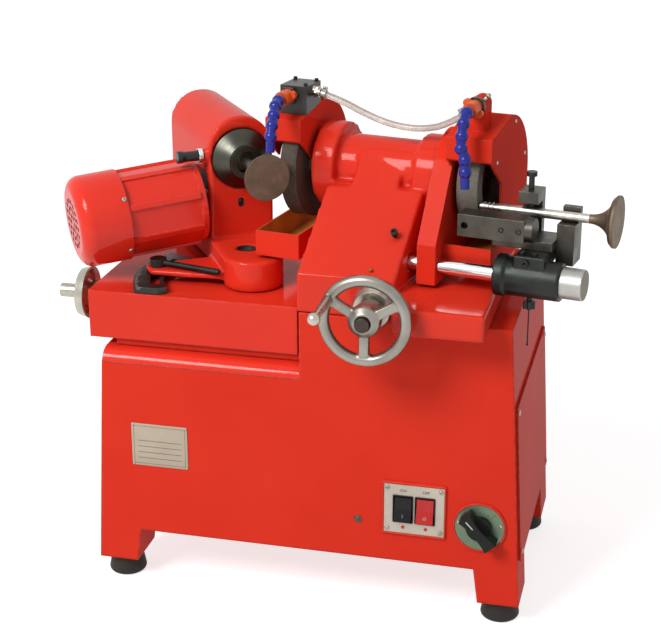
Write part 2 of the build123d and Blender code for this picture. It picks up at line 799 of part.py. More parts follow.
with BuildPart() as rotary_knob:
    knob_turn = radians(ROTARY_KNOB_TILT)
    knob_face = Plane(
        origin=(ROTARY_X, BASE_FRONT - PLATE_THICKNESS - RUNNING_GAP, ROTARY_Z),
        x_dir=(cos(knob_turn), 0, sin(knob_turn)),
        z_dir=(0, -1, 0),
    )
    extrude(disc(knob_face, ROTARY_HUB_RADIUS), amount=ROTARY_HUB_HEIGHT)
    reach = ROTARY_KNOB_LENGTH / 2
    flare = ROTARY_KNOB_WIDTH / 2
    waist = ROTARY_KNOB_WAIST / 2
    with BuildSketch(knob_face):
        with BuildLine():
            upper = ThreePointArc((-reach, flare), (0, waist), (reach, flare))
            lower = ThreePointArc((-reach, -flare), (0, -waist), (reach, -flare))
            Line(upper @ 0, lower @ 0)
            Line(upper @ 1, lower @ 1)
        make_face()
    extrude(amount=ROTARY_KNOB_HEIGHT)
    extrude(disc(knob_face, ROTARY_SHAFT_RADIUS), amount=-PLATE_THICKNESS - RUNNING_GAP - CABINET_WALL)
save(rotary_knob, "rotary_knob")

# Slideways of the carriage on the bed and of the wheel head on the table
way_middles = (TABLE_WAY_LEFT + TABLE_WAY_WIDTH / 2, TABLE_WAY_RIGHT - TABLE_WAY_WIDTH / 2)
TABLE_WAY_FRONT = COLUMN_FRONT + COLUMN_WALL + FEED_BACKWARD + TABLE_WAY_END_ROOM
with BuildPart() as slideways:
    way_height = CARRIAGE_LOW - RUNNING_GAP - BED_LEVEL
    way_length = STEP_X - CARRIAGE_WAY_LEFT
    front_way = CARRIAGE_FRONT + CARRIAGE_WAY_INSET + CARRIAGE_WAY_WIDTH / 2
    rear_way = CARRIAGE_REAR - CARRIAGE_WAY_INSET - CARRIAGE_WAY_WIDTH / 2
    with Locations((CARRIAGE_WAY_LEFT, front_way, BED_LEVEL), (CARRIAGE_WAY_LEFT, rear_way, BED_LEVEL)):
        Box(way_length, CARRIAGE_WAY_WIDTH, way_height, align=(Align.MIN, Align.CENTER, Align.MIN))
    with Locations(*[(middle, TABLE_WAY_FRONT, TABLE_LEVEL) for middle in way_middles]):
        Box(
            TABLE_WAY_WIDTH,
            TABLE_WAY_REAR - TABLE_WAY_FRONT,
            TABLE_WAY_HEIGHT,
            align=(Align.CENTER, Align.MIN, Align.MIN),
        )
save(slideways, "slideways")

# Traverse nut on the bed and cross-feed nut on the table
with BuildPart() as feed_nuts:
    nut_half = TRAVERSE_SCREW_RADIUS + NUT_WALL
    with Locations((TRAVERSE_NUT_X, TRAVERSE_Y, BED_LEVEL)):
        Box(
            NUT_LENGTH,
            2 * nut_half,
            TRAVERSE_Z + nut_half - BED_LEVEL,
            align=(Align.CENTER, Align.CENTER, Align.MIN),
        )
    nut_bore = Plane.YZ.offset(TRAVERSE_NUT_X - NUT_LENGTH / 2)
    bore_face = disc(nut_bore, TRAVERSE_SCREW_RADIUS + SHAFT_GAP, (TRAVERSE_Y, TRAVERSE_Z))
    extrude(bore_face, amount=NUT_LENGTH, mode=Mode.SUBTRACT)
    nut_top = FEED_Z + FEED_SCREW_RADIUS + NUT_WALL
    with Locations((FEED_X, FEED_NUT_Y, TABLE_LEVEL)):
        Box(
            2 * (FEED_SCREW_RADIUS + NUT_WALL) - NUT_WALL,
            NUT_LENGTH,
            nut_top - TABLE_LEVEL,
            align=(Align.CENTER, Align.CENTER, Align.MIN),
        )
    feed_bore = Plane.XZ.offset(-FEED_NUT_Y - NUT_LENGTH / 2)
    feed_face = disc(feed_bore, FEED_SCREW_RADIUS + SHAFT_GAP, (FEED_X, FEED_Z))
    extrude(feed_face, amount=NUT_LENGTH, mode=Mode.SUBTRACT)
save(feed_nuts, "feed_nuts")

# Coolant tank on the cabinet floor, and the pump hung in its lid
TANK_LOW = FLOOR_LEVEL + FLOOR_PLATE
TANK_ROOM = BED_LEVEL - CABINET_TOP - TANK_LOW
TANK_HEIGHT = TANK_ROOM * TANK_SHARE
PUMP_HEIGHT = TANK_ROOM * PUMP_SHARE
PUMP_STEM_DEPTH = TANK_HEIGHT - PUMP_STEM_ROOM
with BuildPart() as coolant_tank:
    tank_plan = panel(
        Plane.XY.offset(TANK_LOW), TANK_LEFT, TANK_RIGHT, -TANK_HALF_DEPTH, TANK_HALF_DEPTH
    )
    extrude(tank_plan, amount=TANK_HEIGHT)
    tank_room = panel(
        Plane.XY.offset(TANK_LOW + TANK_WALL),
        TANK_LEFT + TANK_WALL,
        TANK_RIGHT - TANK_WALL,
        -TANK_HALF_DEPTH + TANK_WALL,
        TANK_HALF_DEPTH - TANK_WALL,
    )
    extrude(tank_room, amount=TANK_HEIGHT - 2 * TANK_WALL, mode=Mode.SUBTRACT)
    pump_hole = disc(Plane.XY.offset(TANK_LOW + TANK_HEIGHT), PUMP_STEM_RADIUS + RUNNING_GAP, (PUMP_X, 0))
    extrude(pump_hole, amount=-TANK_WALL, mode=Mode.SUBTRACT)
save(coolant_tank, "coolant_tank")

with BuildPart() as coolant_pump:
    lid = TANK_LOW + TANK_HEIGHT
    pump_profile = outline(
        Plane(origin=(PUMP_X, 0, lid), x_dir=(1, 0, 0), z_dir=(0, -1, 0)),
        (0, -PUMP_STEM_DEPTH),
        (PUMP_STEM_RADIUS, -PUMP_STEM_DEPTH),
        (PUMP_STEM_RADIUS, 0),
        (PUMP_RADIUS + PUMP_FLANGE, 0),
        (PUMP_RADIUS + PUMP_FLANGE, PUMP_FLANGE),
        (PUMP_RADIUS, PUMP_FLANGE),
        (PUMP_RADIUS, PUMP_HEIGHT - PUMP_FLANGE),
        (PUMP_RADIUS - PUMP_FLANGE, PUMP_HEIGHT),
        (0, PUMP_HEIGHT),
    )
    revolve(pump_profile, axis=Axis((PUMP_X, 0, 0), (0, 0, 1)))
save(coolant_pump, "coolant_pump")

# Carriage slab, hollow below, with the pivot pin on its top
with BuildPart() as carriage_slab:
    extrude(
        panel(Plane.XY.offset(CARRIAGE_LOW), CARRIAGE_LEFT, CARRIAGE_RIGHT, CARRIAGE_FRONT, CARRIAGE_REAR),
        amount=CARRIAGE_TOP - CARRIAGE_LOW,
    )
    slab_room = panel(
        Plane.XY.offset(CARRIAGE_LOW),
        CARRIAGE_LEFT + CARRIAGE_END_WALL,
        CARRIAGE_RIGHT - CARRIAGE_END_WALL,
        CARRIAGE_FRONT + CARRIAGE_SIDE_WALL,
        CARRIAGE_REAR - CARRIAGE_SIDE_WALL,
    )
    extrude(slab_room, amount=CARRIAGE_TOP - CARRIAGE_LOW - CARRIAGE_ROOF, mode=Mode.SUBTRACT)
    screw_hole = disc(
        Plane.YZ.offset(CARRIAGE_LEFT), TRAVERSE_SCREW_RADIUS + SHAFT_GAP, (TRAVERSE_Y, TRAVERSE_Z)
    )
    extrude(
        screw_hole,
        amount=CARRIAGE_RIGHT - CARRIAGE_LEFT - CARRIAGE_END_WALL / 2,
        mode=Mode.SUBTRACT,
    )
    extrude(disc(work_level(CARRIAGE_TOP), PIVOT_PIN_RADIUS, PIVOT_SPOT), amount=PIVOT_PIN_HEIGHT)
save(carriage_slab, "carriage_slab")

# Angle sector on the carriage, with the slot that the clamp stud rides in
with BuildPart() as angle_sector:
    sector_floor = Plane(origin=(PIVOT_X, PIVOT_Y, CARRIAGE_TOP))
    stud_bearing = CLAMP_BEARING - WHEEL_SKEW - FACE_ANGLE
    with BuildSketch(sector_floor):
        with BuildLine():
            outer = CenterArc((0, 0), SECTOR_OUTER, SECTOR_START, SECTOR_SWEEP)
            inner = CenterArc((0, 0), SECTOR_INNER, SECTOR_START, SECTOR_SWEEP)
            Line(outer @ 0, inner @ 0)
            Line(outer @ 1, inner @ 1)
        make_face()
    extrude(amount=SECTOR_THICKNESS)
    slot_half = CLAMP_STUD_RADIUS + RUNNING_GAP
    slot_start = stud_bearing - CLAMP_SLOT_SWEEP / 2
    with BuildSketch(sector_floor):
        with BuildLine():
            slot_outer = CenterArc((0, 0), CLAMP_RADIUS + slot_half, slot_start, CLAMP_SLOT_SWEEP)
            slot_inner = CenterArc((0, 0), CLAMP_RADIUS - slot_half, slot_start, CLAMP_SLOT_SWEEP)
            Line(slot_outer @ 0, slot_inner @ 0)
            Line(slot_outer @ 1, slot_inner @ 1)
        make_face()
    extrude(amount=SECTOR_THICKNESS, mode=Mode.SUBTRACT)
    split(bisect_by=Plane.XZ.offset(-CARRIAGE_FRONT - SECTOR_FRONT_MARGIN), keep=Keep.BOTTOM)
save(angle_sector, "angle_sector")

# Traverse handwheel and screw
with BuildPart() as traverse_wheel:
    wheel_face = CARRIAGE_LEFT - TRAVERSE_WHEEL_STAND
    web = TRAVERSE_WHEEL_WIDTH / 2
    wheel_profile = outline(
        Plane(origin=(wheel_face, TRAVERSE_Y, TRAVERSE_Z), x_dir=(-1, 0, 0), z_dir=(0, 1, 0)),
        (0, TRAVERSE_SCREW_RADIUS + SEAT_GAP),
        (0, TRAVERSE_HUB_RADIUS),
        (web, TRAVERSE_HUB_RADIUS + web),
        (web, TRAVERSE_WHEEL_RADIUS - web),
        (0, TRAVERSE_WHEEL_RADIUS - web / 2),
        (0, TRAVERSE_WHEEL_RADIUS),
        (TRAVERSE_WHEEL_WIDTH, TRAVERSE_WHEEL_RADIUS - web / 2),
        (TRAVERSE_WHEEL_WIDTH + web, TRAVERSE_HUB_RADIUS),
        (TRAVERSE_WHEEL_WIDTH + web, TRAVERSE_SCREW_RADIUS + SEAT_GAP),
    )
    revolve(wheel_profile, axis=Axis((0, TRAVERSE_Y, TRAVERSE_Z), (1, 0, 0)))
save(traverse_wheel, "traverse_wheel")

with BuildPart() as traverse_screw:
    screw_right = CARRIAGE_RIGHT - CARRIAGE_END_WALL / 2 - RUNNING_GAP
    spacer_end = CARRIAGE_LEFT - RUNNING_GAP
    knob_end = wheel_face - TRAVERSE_WHEEL_WIDTH - web - TRAVERSE_KNOB_LENGTH
    screw_profile = outline(
        Plane(origin=(0, TRAVERSE_Y, TRAVERSE_Z), x_dir=(1, 0, 0), z_dir=(0, -1, 0)),
        (knob_end, 0),
        (screw_right, 0),
        (screw_right, TRAVERSE_SCREW_RADIUS),
        (spacer_end, TRAVERSE_SCREW_RADIUS),
        (spacer_end, TRAVERSE_HUB_RADIUS),
        (wheel_face, TRAVERSE_HUB_RADIUS),
        (wheel_face, TRAVERSE_SCREW_RADIUS),
        (knob_end + TRAVERSE_KNOB_LENGTH, TRAVERSE_SCREW_RADIUS),
        (knob_end + TRAVERSE_KNOB_LENGTH, TRAVERSE_KNOB_RADIUS),
        (knob_end, TRAVERSE_KNOB_RADIUS),
    )
    revolve(screw_profile, axis=Axis((0, TRAVERSE_Y, TRAVERSE_Z), (1, 0, 0)))
save(traverse_screw, "traverse_screw")

# Work head casting: pivot boss, foot, clamp wing and spindle barrel
WING_LOW = CARRIAGE_TOP + SECTOR_THICKNESS + RUNNING_GAP
WING_TOP = WING_LOW + WING_THICKNESS
CLAMP_SPOT = (
    CLAMP_RADIUS * cos(radians(CLAMP_BEARING)),
    CLAMP_RADIUS * sin(radians(CLAMP_BEARING)) - WORK_OFFSET,
)
WORM_RADIUS = WORM_DROP - WORM_WHEEL_RADIUS - MESH_GAP
WORK_FRONT_SEAT = HEAD_FRONT - CHUCK_RECESS
WORK_REAR_SEAT = HEAD_REAR + WORK_BEARING_INSET + WORK_BEARING_WIDTH


def motor_plane(distance):
    """Plane square to the work head motor's axis, centred on it and looking away from the head."""
    return Plane(origin=MOTOR_CENTRE + MOTOR_LINE * distance, x_dir=WORK_ALONG, z_dir=MOTOR_LINE)


with BuildPart() as workhead_casting:
    boss_floor = work_level(CARRIAGE_TOP + RUNNING_GAP)
    extrude(disc(boss_floor, BOSS_RADIUS, PIVOT_SPOT), amount=BOSS_TOP - CARRIAGE_TOP - RUNNING_GAP)
    # Foot from the boss to the barrel
    foot_plan = outline(
        work_level(WING_LOW),
        (0, -BOSS_RADIUS - WORK_OFFSET),
        (0, BOSS_RADIUS - WORK_OFFSET),
        (HEAD_FRONT, HEAD_HALF_WIDTH),
        (HEAD_REAR, HEAD_HALF_WIDTH),
        (HEAD_REAR, -HEAD_HALF_WIDTH),
        (HEAD_FRONT, -HEAD_HALF_WIDTH),
    )
    extrude(foot_plan, amount=BOSS_TOP - WING_LOW)
    # Wing that carries the clamp
    wing_reach = CLAMP_SPOT[1] - WING_MARGIN
    wing_plan = outline(
        work_level(WING_LOW),
        (CLAMP_SPOT[0] - WING_MARGIN, -HEAD_HALF_WIDTH),
        (CLAMP_SPOT[0] - WING_MARGIN, wing_reach),
        (CLAMP_SPOT[0] + WING_MARGIN, wing_reach),
        (0, -BOSS_RADIUS - WORK_OFFSET),
    )
    extrude(wing_plan, amount=WING_THICKNESS)
    # Upright sides and round crown
    with BuildSketch(work_square(HEAD_REAR)):
        with BuildLine():
            crown = CenterArc((0, HEAD_LIFT), HEAD_HALF_WIDTH, 0, 180)
            left_foot = (-HEAD_HALF_WIDTH, WING_LOW - SPINDLE_HEIGHT)
            right_foot = (HEAD_HALF_WIDTH, WING_LOW - SPINDLE_HEIGHT)
            Polyline(crown @ 1, left_foot, right_foot, crown @ 0)
        make_face()
    extrude(amount=HEAD_FRONT - HEAD_REAR)
    collar = disc(work_side(0), PLUNGER_COLLAR_RADIUS, (PLUNGER_ALONG, PLUNGER_UP))
    extrude(collar, amount=HEAD_HALF_WIDTH + PLUNGER_COLLAR_LENGTH)
    # Hollow of the rear foot, open below
    foot_room = panel(
        work_level(WING_LOW),
        HEAD_REAR + HEAD_WALL,
        HEAD_HOLLOW_FRONT,
        -HEAD_HALF_WIDTH + HEAD_WALL,
        HEAD_HALF_WIDTH - HEAD_WALL,
    )
    extrude(foot_room, amount=SPINDLE_HEIGHT - HEAD_HOLLOW_DROP - WING_LOW, mode=Mode.SUBTRACT)
    # Spindle bore, bearing seats and room for the worm wheel
    wheel_back = WORM_ALONG - WORM_WHEEL_WIDTH / 2 - WORM_ROOM
    wheel_front = WORM_ALONG + WORM_WHEEL_WIDTH / 2 + WORM_ROOM
    bores = outline(
        work_level(SPINDLE_HEIGHT),
        (HEAD_REAR, 0),
        (HEAD_REAR, WORK_BEARING_RADIUS),
        (WORK_REAR_SEAT, WORK_BEARING_RADIUS),
        (WORK_REAR_SEAT, WORK_BORE),
        (wheel_back, WORK_BORE),
        (wheel_back, WORM_WHEEL_RADIUS + WORM_ROOM),
        (wheel_front, WORM_WHEEL_RADIUS + WORM_ROOM),
        (wheel_front, WORK_BEARING_RADIUS),
        (WORK_FRONT_SEAT, WORK_BEARING_RADIUS),
        (WORK_FRONT_SEAT, CHUCK_RADIUS + RUNNING_GAP),
        (HEAD_FRONT, CHUCK_RADIUS + RUNNING_GAP),
        (HEAD_FRONT, 0),
    )
    revolve(bores, axis=WORK_AXIS, mode=Mode.SUBTRACT)
    # Room for the worm, open to the motor
    worm_start = -WORM_LENGTH / 2 - WORM_ROOM
    worm_room = disc(motor_plane(worm_start), WORM_RADIUS + WORM_ROOM)
    extrude(worm_room, amount=MOTOR_FACE - worm_start, mode=Mode.SUBTRACT)
    # Pivot bore, locking hole, plunger hole and stud hole
    extrude(
        disc(boss_floor, PIVOT_PIN_RADIUS + SHAFT_GAP, PIVOT_SPOT),
        amount=PIVOT_PIN_HEIGHT,
        mode=Mode.SUBTRACT,
    )
    boss_hole = disc(work_level(BOSS_TOP), BOSS_HOLE_RADIUS, (-BOSS_HOLE_BACK, -WORK_OFFSET))
    extrude(boss_hole, amount=-BOSS_HOLE_DEPTH, mode=Mode.SUBTRACT)
    plunger_hole = disc(
        work_side(-HEAD_HALF_WIDTH - PLUNGER_COLLAR_LENGTH),
        PLUNGER_PIN_RADIUS + SHAFT_GAP,
        (PLUNGER_ALONG, PLUNGER_UP),
    )
    extrude(plunger_hole, amount=-PLUNGER_PIN_DEPTH - PLUNGER_COLLAR_LENGTH, mode=Mode.SUBTRACT)
    stud_hole = disc(work_level(WING_LOW), CLAMP_STUD_RADIUS + SHAFT_GAP, CLAMP_SPOT)
    extrude(stud_hole, amount=WING_THICKNESS, mode=Mode.SUBTRACT)
save(workhead_casting, "workhead_casting")

# Work spindle bearings
with BuildPart() as work_bearings:
    front_bearing = WORK_FRONT_SEAT - WORK_BEARING_SETBACK - WORK_BEARING_WIDTH
    for start in (front_bearing, HEAD_REAR + WORK_BEARING_INSET):
        with BuildSketch(work_square(start)):
            Circle(WORK_BEARING_RADIUS - SEAT_GAP)
            Circle(WORK_SPINDLE_RADIUS + SHAFT_GAP, mode=Mode.SUBTRACT)
        extrude(amount=WORK_BEARING_WIDTH)
save(work_bearings, "work_bearings")

# Work spindle, worm wheel, chuck and held valve
with BuildPart() as work_spindle:
    spindle_length = WORK_FRONT_SEAT - HEAD_REAR - WORK_SPINDLE_INSET
    spindle_end = work_square(WORK_FRONT_SEAT)
    extrude(disc(spindle_end, WORK_SPINDLE_RADIUS), amount=-spindle_length)
    extrude(disc(spindle_end, VALVE_STEM_RADIUS + SHAFT_GAP), amount=-spindle_length, mode=Mode.SUBTRACT)
save(work_spindle, "work_spindle")

with BuildPart() as worm_wheel:
    wheel_start = work_square(WORM_ALONG - WORM_WHEEL_WIDTH / 2)
    with BuildSketch(wheel_start):
        Circle(WORM_WHEEL_RADIUS)
        Circle(WORK_SPINDLE_RADIUS + SEAT_GAP, mode=Mode.SUBTRACT)
    extrude(amount=WORM_WHEEL_WIDTH)
save(worm_wheel, "worm_wheel")

with BuildPart() as work_chuck:
    chuck_back = WORK_FRONT_SEAT + RUNNING_GAP
    chuck_profile = outline(
        work_level(SPINDLE_HEIGHT),
        (chuck_back, VALVE_STEM_RADIUS + SHAFT_GAP),
        (chuck_back, CHUCK_RADIUS),
        (chuck_back + CHUCK_LIP, CHUCK_RADIUS),
        (CHUCK_NOSE_FRONT - CHUCK_MOUTH_DEPTH / 2, CHUCK_NOSE_RADIUS),
        (CHUCK_NOSE_FRONT, CHUCK_NOSE_RADIUS),
        (CHUCK_NOSE_FRONT, CHUCK_MOUTH_RADIUS),
        (CHUCK_NOSE_FRONT - CHUCK_MOUTH_DEPTH, CHUCK_MOUTH_RADIUS),
        (CHUCK_NOSE_FRONT - CHUCK_MOUTH_DEPTH, VALVE_STEM_RADIUS + SHAFT_GAP),
    )
    revolve(chuck_profile, axis=WORK_AXIS)
save(work_chuck, "work_chuck")


def valve_profile(plane, stem_end, face, radius, tulip):
    """Half section of a poppet valve: stem, tulip neck, seat cone and rim, up to its flat face."""
    to_head = 1 if face > stem_end else -1
    rim = face - to_head * VALVE_RIM
    seat = rim - to_head * VALVE_SEAT
    neck = seat - to_head * tulip
    with BuildSketch(plane) as section:
        with BuildLine():
            Line((stem_end, 0), (stem_end, VALVE_STEM_RADIUS))
            Line((stem_end, VALVE_STEM_RADIUS), (neck, VALVE_STEM_RADIUS))
            bow_rise = (radius - VALVE_SEAT) * TULIP_BOW_RISE
            bow = (seat - to_head * tulip * TULIP_BOW_PLACE, VALVE_STEM_RADIUS + bow_rise)
            ThreePointArc((neck, VALVE_STEM_RADIUS), bow, (seat, radius - VALVE_SEAT))
            Polyline((seat, radius - VALVE_SEAT), (rim, radius), (face, radius), (face, 0), (stem_end, 0))
        make_face()
    return section.sketch


with BuildPart() as work_valve:
    held = valve_profile(
        work_level(SPINDLE_HEIGHT), VALVE_STEM_GRIP, WORK_VALVE_FRONT, VALVE_HEAD_RADIUS, VALVE_TULIP
    )
    revolve(held, axis=WORK_AXIS)
save(work_valve, "work_valve")

# Index plunger on the barrel's side
with BuildPart() as index_plunger:
    plunger_seat = -HEAD_HALF_WIDTH - PLUNGER_COLLAR_LENGTH - RUNNING_GAP
    extrude(
        disc(work_side(plunger_seat), PLUNGER_PIN_RADIUS, (PLUNGER_ALONG, PLUNGER_UP)),
        amount=-PLUNGER_PIN_DEPTH - PLUNGER_COLLAR_LENGTH,
    )
    grip_axis = Axis(work_at(PLUNGER_ALONG, 0, PLUNGER_UP), WORK_ACROSS)
    grip_start = work_at(PLUNGER_ALONG, plunger_seat, PLUNGER_UP)
    grip = outline(
        Plane(origin=grip_start, x_dir=-WORK_ACROSS, z_dir=WORK_ALONG),
        (0, 0),
        (0, PLUNGER_RADIUS),
        (PLUNGER_LENGTH - 2 * PLUNGER_KNOB_RUN, PLUNGER_RADIUS),
        (PLUNGER_LENGTH - PLUNGER_KNOB_RUN, PLUNGER_END_RADIUS),
        (PLUNGER_LENGTH, PLUNGER_END_RADIUS),
        (PLUNGER_LENGTH, 0),
    )
    revolve(grip, axis=grip_axis)
save(index_plunger, "index_plunger")

# Clamp lever over the wing, with its stud through the sector
with BuildPart() as clamp_lever:
    hub_floor = work_level(WING_TOP + RUNNING_GAP)
    extrude(disc(hub_floor, CLAMP_HUB_RADIUS, CLAMP_SPOT), amount=CLAMP_HUB_HEIGHT)
    stud_length = WING_TOP + RUNNING_GAP - CARRIAGE_TOP - RUNNING_GAP
    extrude(disc(hub_floor, CLAMP_STUD_RADIUS, CLAMP_SPOT), amount=-stud_length)
    lever_angle = radians(CLAMP_LEVER_ANGLE)
    lever_line = WORK_ALONG * cos(lever_angle) + WORK_ACROSS * sin(lever_angle)
    lever_root = work_at(*CLAMP_SPOT, WING_TOP + RUNNING_GAP + CLAMP_HUB_HEIGHT / 2 - SPINDLE_HEIGHT)
    lever_plane = Plane(origin=lever_root, z_dir=lever_line)
    extrude(disc(lever_plane, CLAMP_LEVER_RADIUS), amount=CLAMP_LEVER_LENGTH)
    with Locations(lever_root + lever_line * CLAMP_LEVER_LENGTH):
        Sphere(CLAMP_LEVER_RADIUS)
save(clamp_lever, "clamp_lever")

# Motor adapter: a wedge plate between the head's side and the tilted motor
adapter_lean = ADAPTER_HEIGHT / 2 * sin(radians(MOTOR_TILT))
adapter_rise = ADAPTER_HEIGHT / 2 * cos(radians(MOTOR_TILT))
face_across = -MOTOR_FACE * cos(radians(MOTOR_TILT))
face_up = -WORM_DROP - MOTOR_FACE * sin(radians(MOTOR_TILT))
with BuildPart() as motor_adapter:
    wedge = outline(
        work_square(WORM_ALONG - ADAPTER_WIDTH / 2),
        (-HEAD_HALF_WIDTH, face_up + adapter_rise),
        (face_across - adapter_lean, face_up + adapter_rise),
        (face_across + adapter_lean, face_up - adapter_rise),
        (-HEAD_HALF_WIDTH, face_up - adapter_rise),
    )
    extrude(wedge, amount=ADAPTER_WIDTH)
    extrude(disc(motor_plane(0), ADAPTER_BORE), amount=MOTOR_FACE, mode=Mode.SUBTRACT)
save(motor_adapter, "motor_adapter")

# Motor frame with flange, ribs and stator bore
MOTOR_END = MOTOR_FACE + MOTOR_FLANGE_WIDTH + MOTOR_BODY_LENGTH
MOTOR_HALF = Plane(origin=MOTOR_CENTRE, x_dir=MOTOR_LINE, z_dir=WORK_ALONG)
with BuildPart() as motor_frame:
    extrude(disc(motor_plane(MOTOR_FACE), MOTOR_FLANGE_RADIUS), amount=MOTOR_FLANGE_WIDTH)
    body_start = motor_plane(MOTOR_FACE + MOTOR_FLANGE_WIDTH)
    with BuildSketch(body_start):
        half_step = 180 / MOTOR_RIB_COUNT
        RegularPolygon(MOTOR_BODY_RADIUS, MOTOR_RIB_COUNT, major_radius=False, rotation=half_step)
        with PolarLocations(MOTOR_BODY_RADIUS, MOTOR_RIB_COUNT, start_angle=half_step):
            Rectangle(2 * MOTOR_RIB_HEIGHT, MOTOR_RIB_WIDTH)
    extrude(amount=MOTOR_BODY_LENGTH - COWL_LAP - RUNNING_GAP)
    extrude(disc(body_start, MOTOR_BODY_RADIUS), amount=MOTOR_BODY_LENGTH)
    stator = outline(
        MOTOR_HALF,
        (MOTOR_FACE, 0),
        (MOTOR_FACE, ROTOR_SHAFT_RADIUS + SHAFT_GAP),
        (MOTOR_FACE + MOTOR_END_WALL, ROTOR_SHAFT_RADIUS + SHAFT_GAP),
        (MOTOR_FACE + MOTOR_END_WALL, ROTOR_RADIUS + ROTOR_AIR_GAP),
        (MOTOR_END - MOTOR_END_WALL, ROTOR_RADIUS + ROTOR_AIR_GAP),
        (MOTOR_END - MOTOR_END_WALL, ROTOR_SHAFT_RADIUS + SHAFT_GAP),
        (MOTOR_END, ROTOR_SHAFT_RADIUS + SHAFT_GAP),
        (MOTOR_END, 0),
    )
    revolve(stator, axis=MOTOR_AXIS, mode=Mode.SUBTRACT)
save(motor_frame, "motor_frame")

# Fan cowl with rounded end and vent holes
COWL_START = MOTOR_END - COWL_LAP
COWL_END = COWL_START + COWL_LENGTH
with BuildPart() as motor_cowl:
    with BuildSketch(MOTOR_HALF):
        with BuildLine():
            bend = COWL_ROUND * (1 - sqrt(0.5))
            Polyline(
                (COWL_START, MOTOR_BODY_RADIUS + SEAT_GAP),
                (COWL_START, COWL_RADIUS),
                (COWL_END - COWL_ROUND, COWL_RADIUS),
            )
            ThreePointArc(
                (COWL_END - COWL_ROUND, COWL_RADIUS),
                (COWL_END - bend, COWL_RADIUS - bend),
                (COWL_END, COWL_RADIUS - COWL_ROUND),
            )
            Polyline(
                (COWL_END, COWL_RADIUS - COWL_ROUND),
                (COWL_END, 0),
                (COWL_END - COWL_WALL, 0),
                (COWL_END - COWL_WALL, COWL_RADIUS - COWL_ROUND),
            )
            ThreePointArc(
                (COWL_END - COWL_WALL, COWL_RADIUS - COWL_ROUND),
                (COWL_END - bend - COWL_WALL * sqrt(0.5), COWL_RADIUS - bend - COWL_WALL * sqrt(0.5)),
                (COWL_END - COWL_ROUND, COWL_RADIUS - COWL_WALL),
            )
            Polyline(
                (COWL_END - COWL_ROUND, COWL_RADIUS - COWL_WALL),
                (COWL_START + COWL_LAP, COWL_RADIUS - COWL_WALL),
                (COWL_START + COWL_LAP, MOTOR_BODY_RADIUS + SEAT_GAP),
                (COWL_START, MOTOR_BODY_RADIUS + SEAT_GAP),
            )
        make_face()
    revolve(axis=MOTOR_AXIS)
    with BuildSketch(motor_plane(COWL_END)):
        for ring in range(1, COWL_VENT_RING_COUNT + 1):
            with PolarLocations(COWL_VENT_PITCH * ring, COWL_VENT_STEP * ring):
                Circle(COWL_VENT_RADIUS)
    extrude(amount=-2 * COWL_WALL, mode=Mode.SUBTRACT)
save(motor_cowl, "motor_cowl")

# Rotor with its shaft and worm, and the fan
with BuildPart() as motor_rotor:
    worm_end = WORM_LENGTH / 2
    shaft_end = MOTOR_END + FAN_WIDTH + MOTOR_END_WALL
    rotor_profile = outline(
        MOTOR_HALF,
        (-worm_end, 0),
        (-worm_end, WORM_RADIUS),
        (worm_end, WORM_RADIUS),
        (worm_end, ROTOR_SHAFT_RADIUS),
        (MOTOR_FACE + MOTOR_END_WALL + RUNNING_GAP, ROTOR_SHAFT_RADIUS),
        (MOTOR_FACE + MOTOR_END_WALL + RUNNING_GAP, ROTOR_RADIUS),
        (MOTOR_END - MOTOR_END_WALL - RUNNING_GAP, ROTOR_RADIUS),
        (MOTOR_END - MOTOR_END_WALL - RUNNING_GAP, ROTOR_SHAFT_RADIUS),
        (shaft_end, ROTOR_SHAFT_RADIUS),
        (shaft_end, 0),
    )
    revolve(rotor_profile, axis=MOTOR_AXIS)
save(motor_rotor, "motor_rotor")

with BuildPart() as motor_fan:
    fan_start = motor_plane(MOTOR_END + MOTOR_END_WALL / 2)
    extrude(disc(fan_start, FAN_HUB_RADIUS), amount=FAN_WIDTH)
    extrude(disc(fan_start, FAN_RADIUS), amount=FAN_BLADE)
    with BuildSketch(fan_start):
        with PolarLocations(FAN_RADIUS / 2, FAN_BLADE_COUNT):
            Rectangle(FAN_RADIUS, FAN_BLADE)
    extrude(amount=FAN_WIDTH)
    fan_bore = disc(fan_start, ROTOR_SHAFT_RADIUS + SEAT_GAP)
    extrude(fan_bore, amount=FAN_WIDTH, mode=Mode.SUBTRACT)
save(motor_fan, "motor_fan")

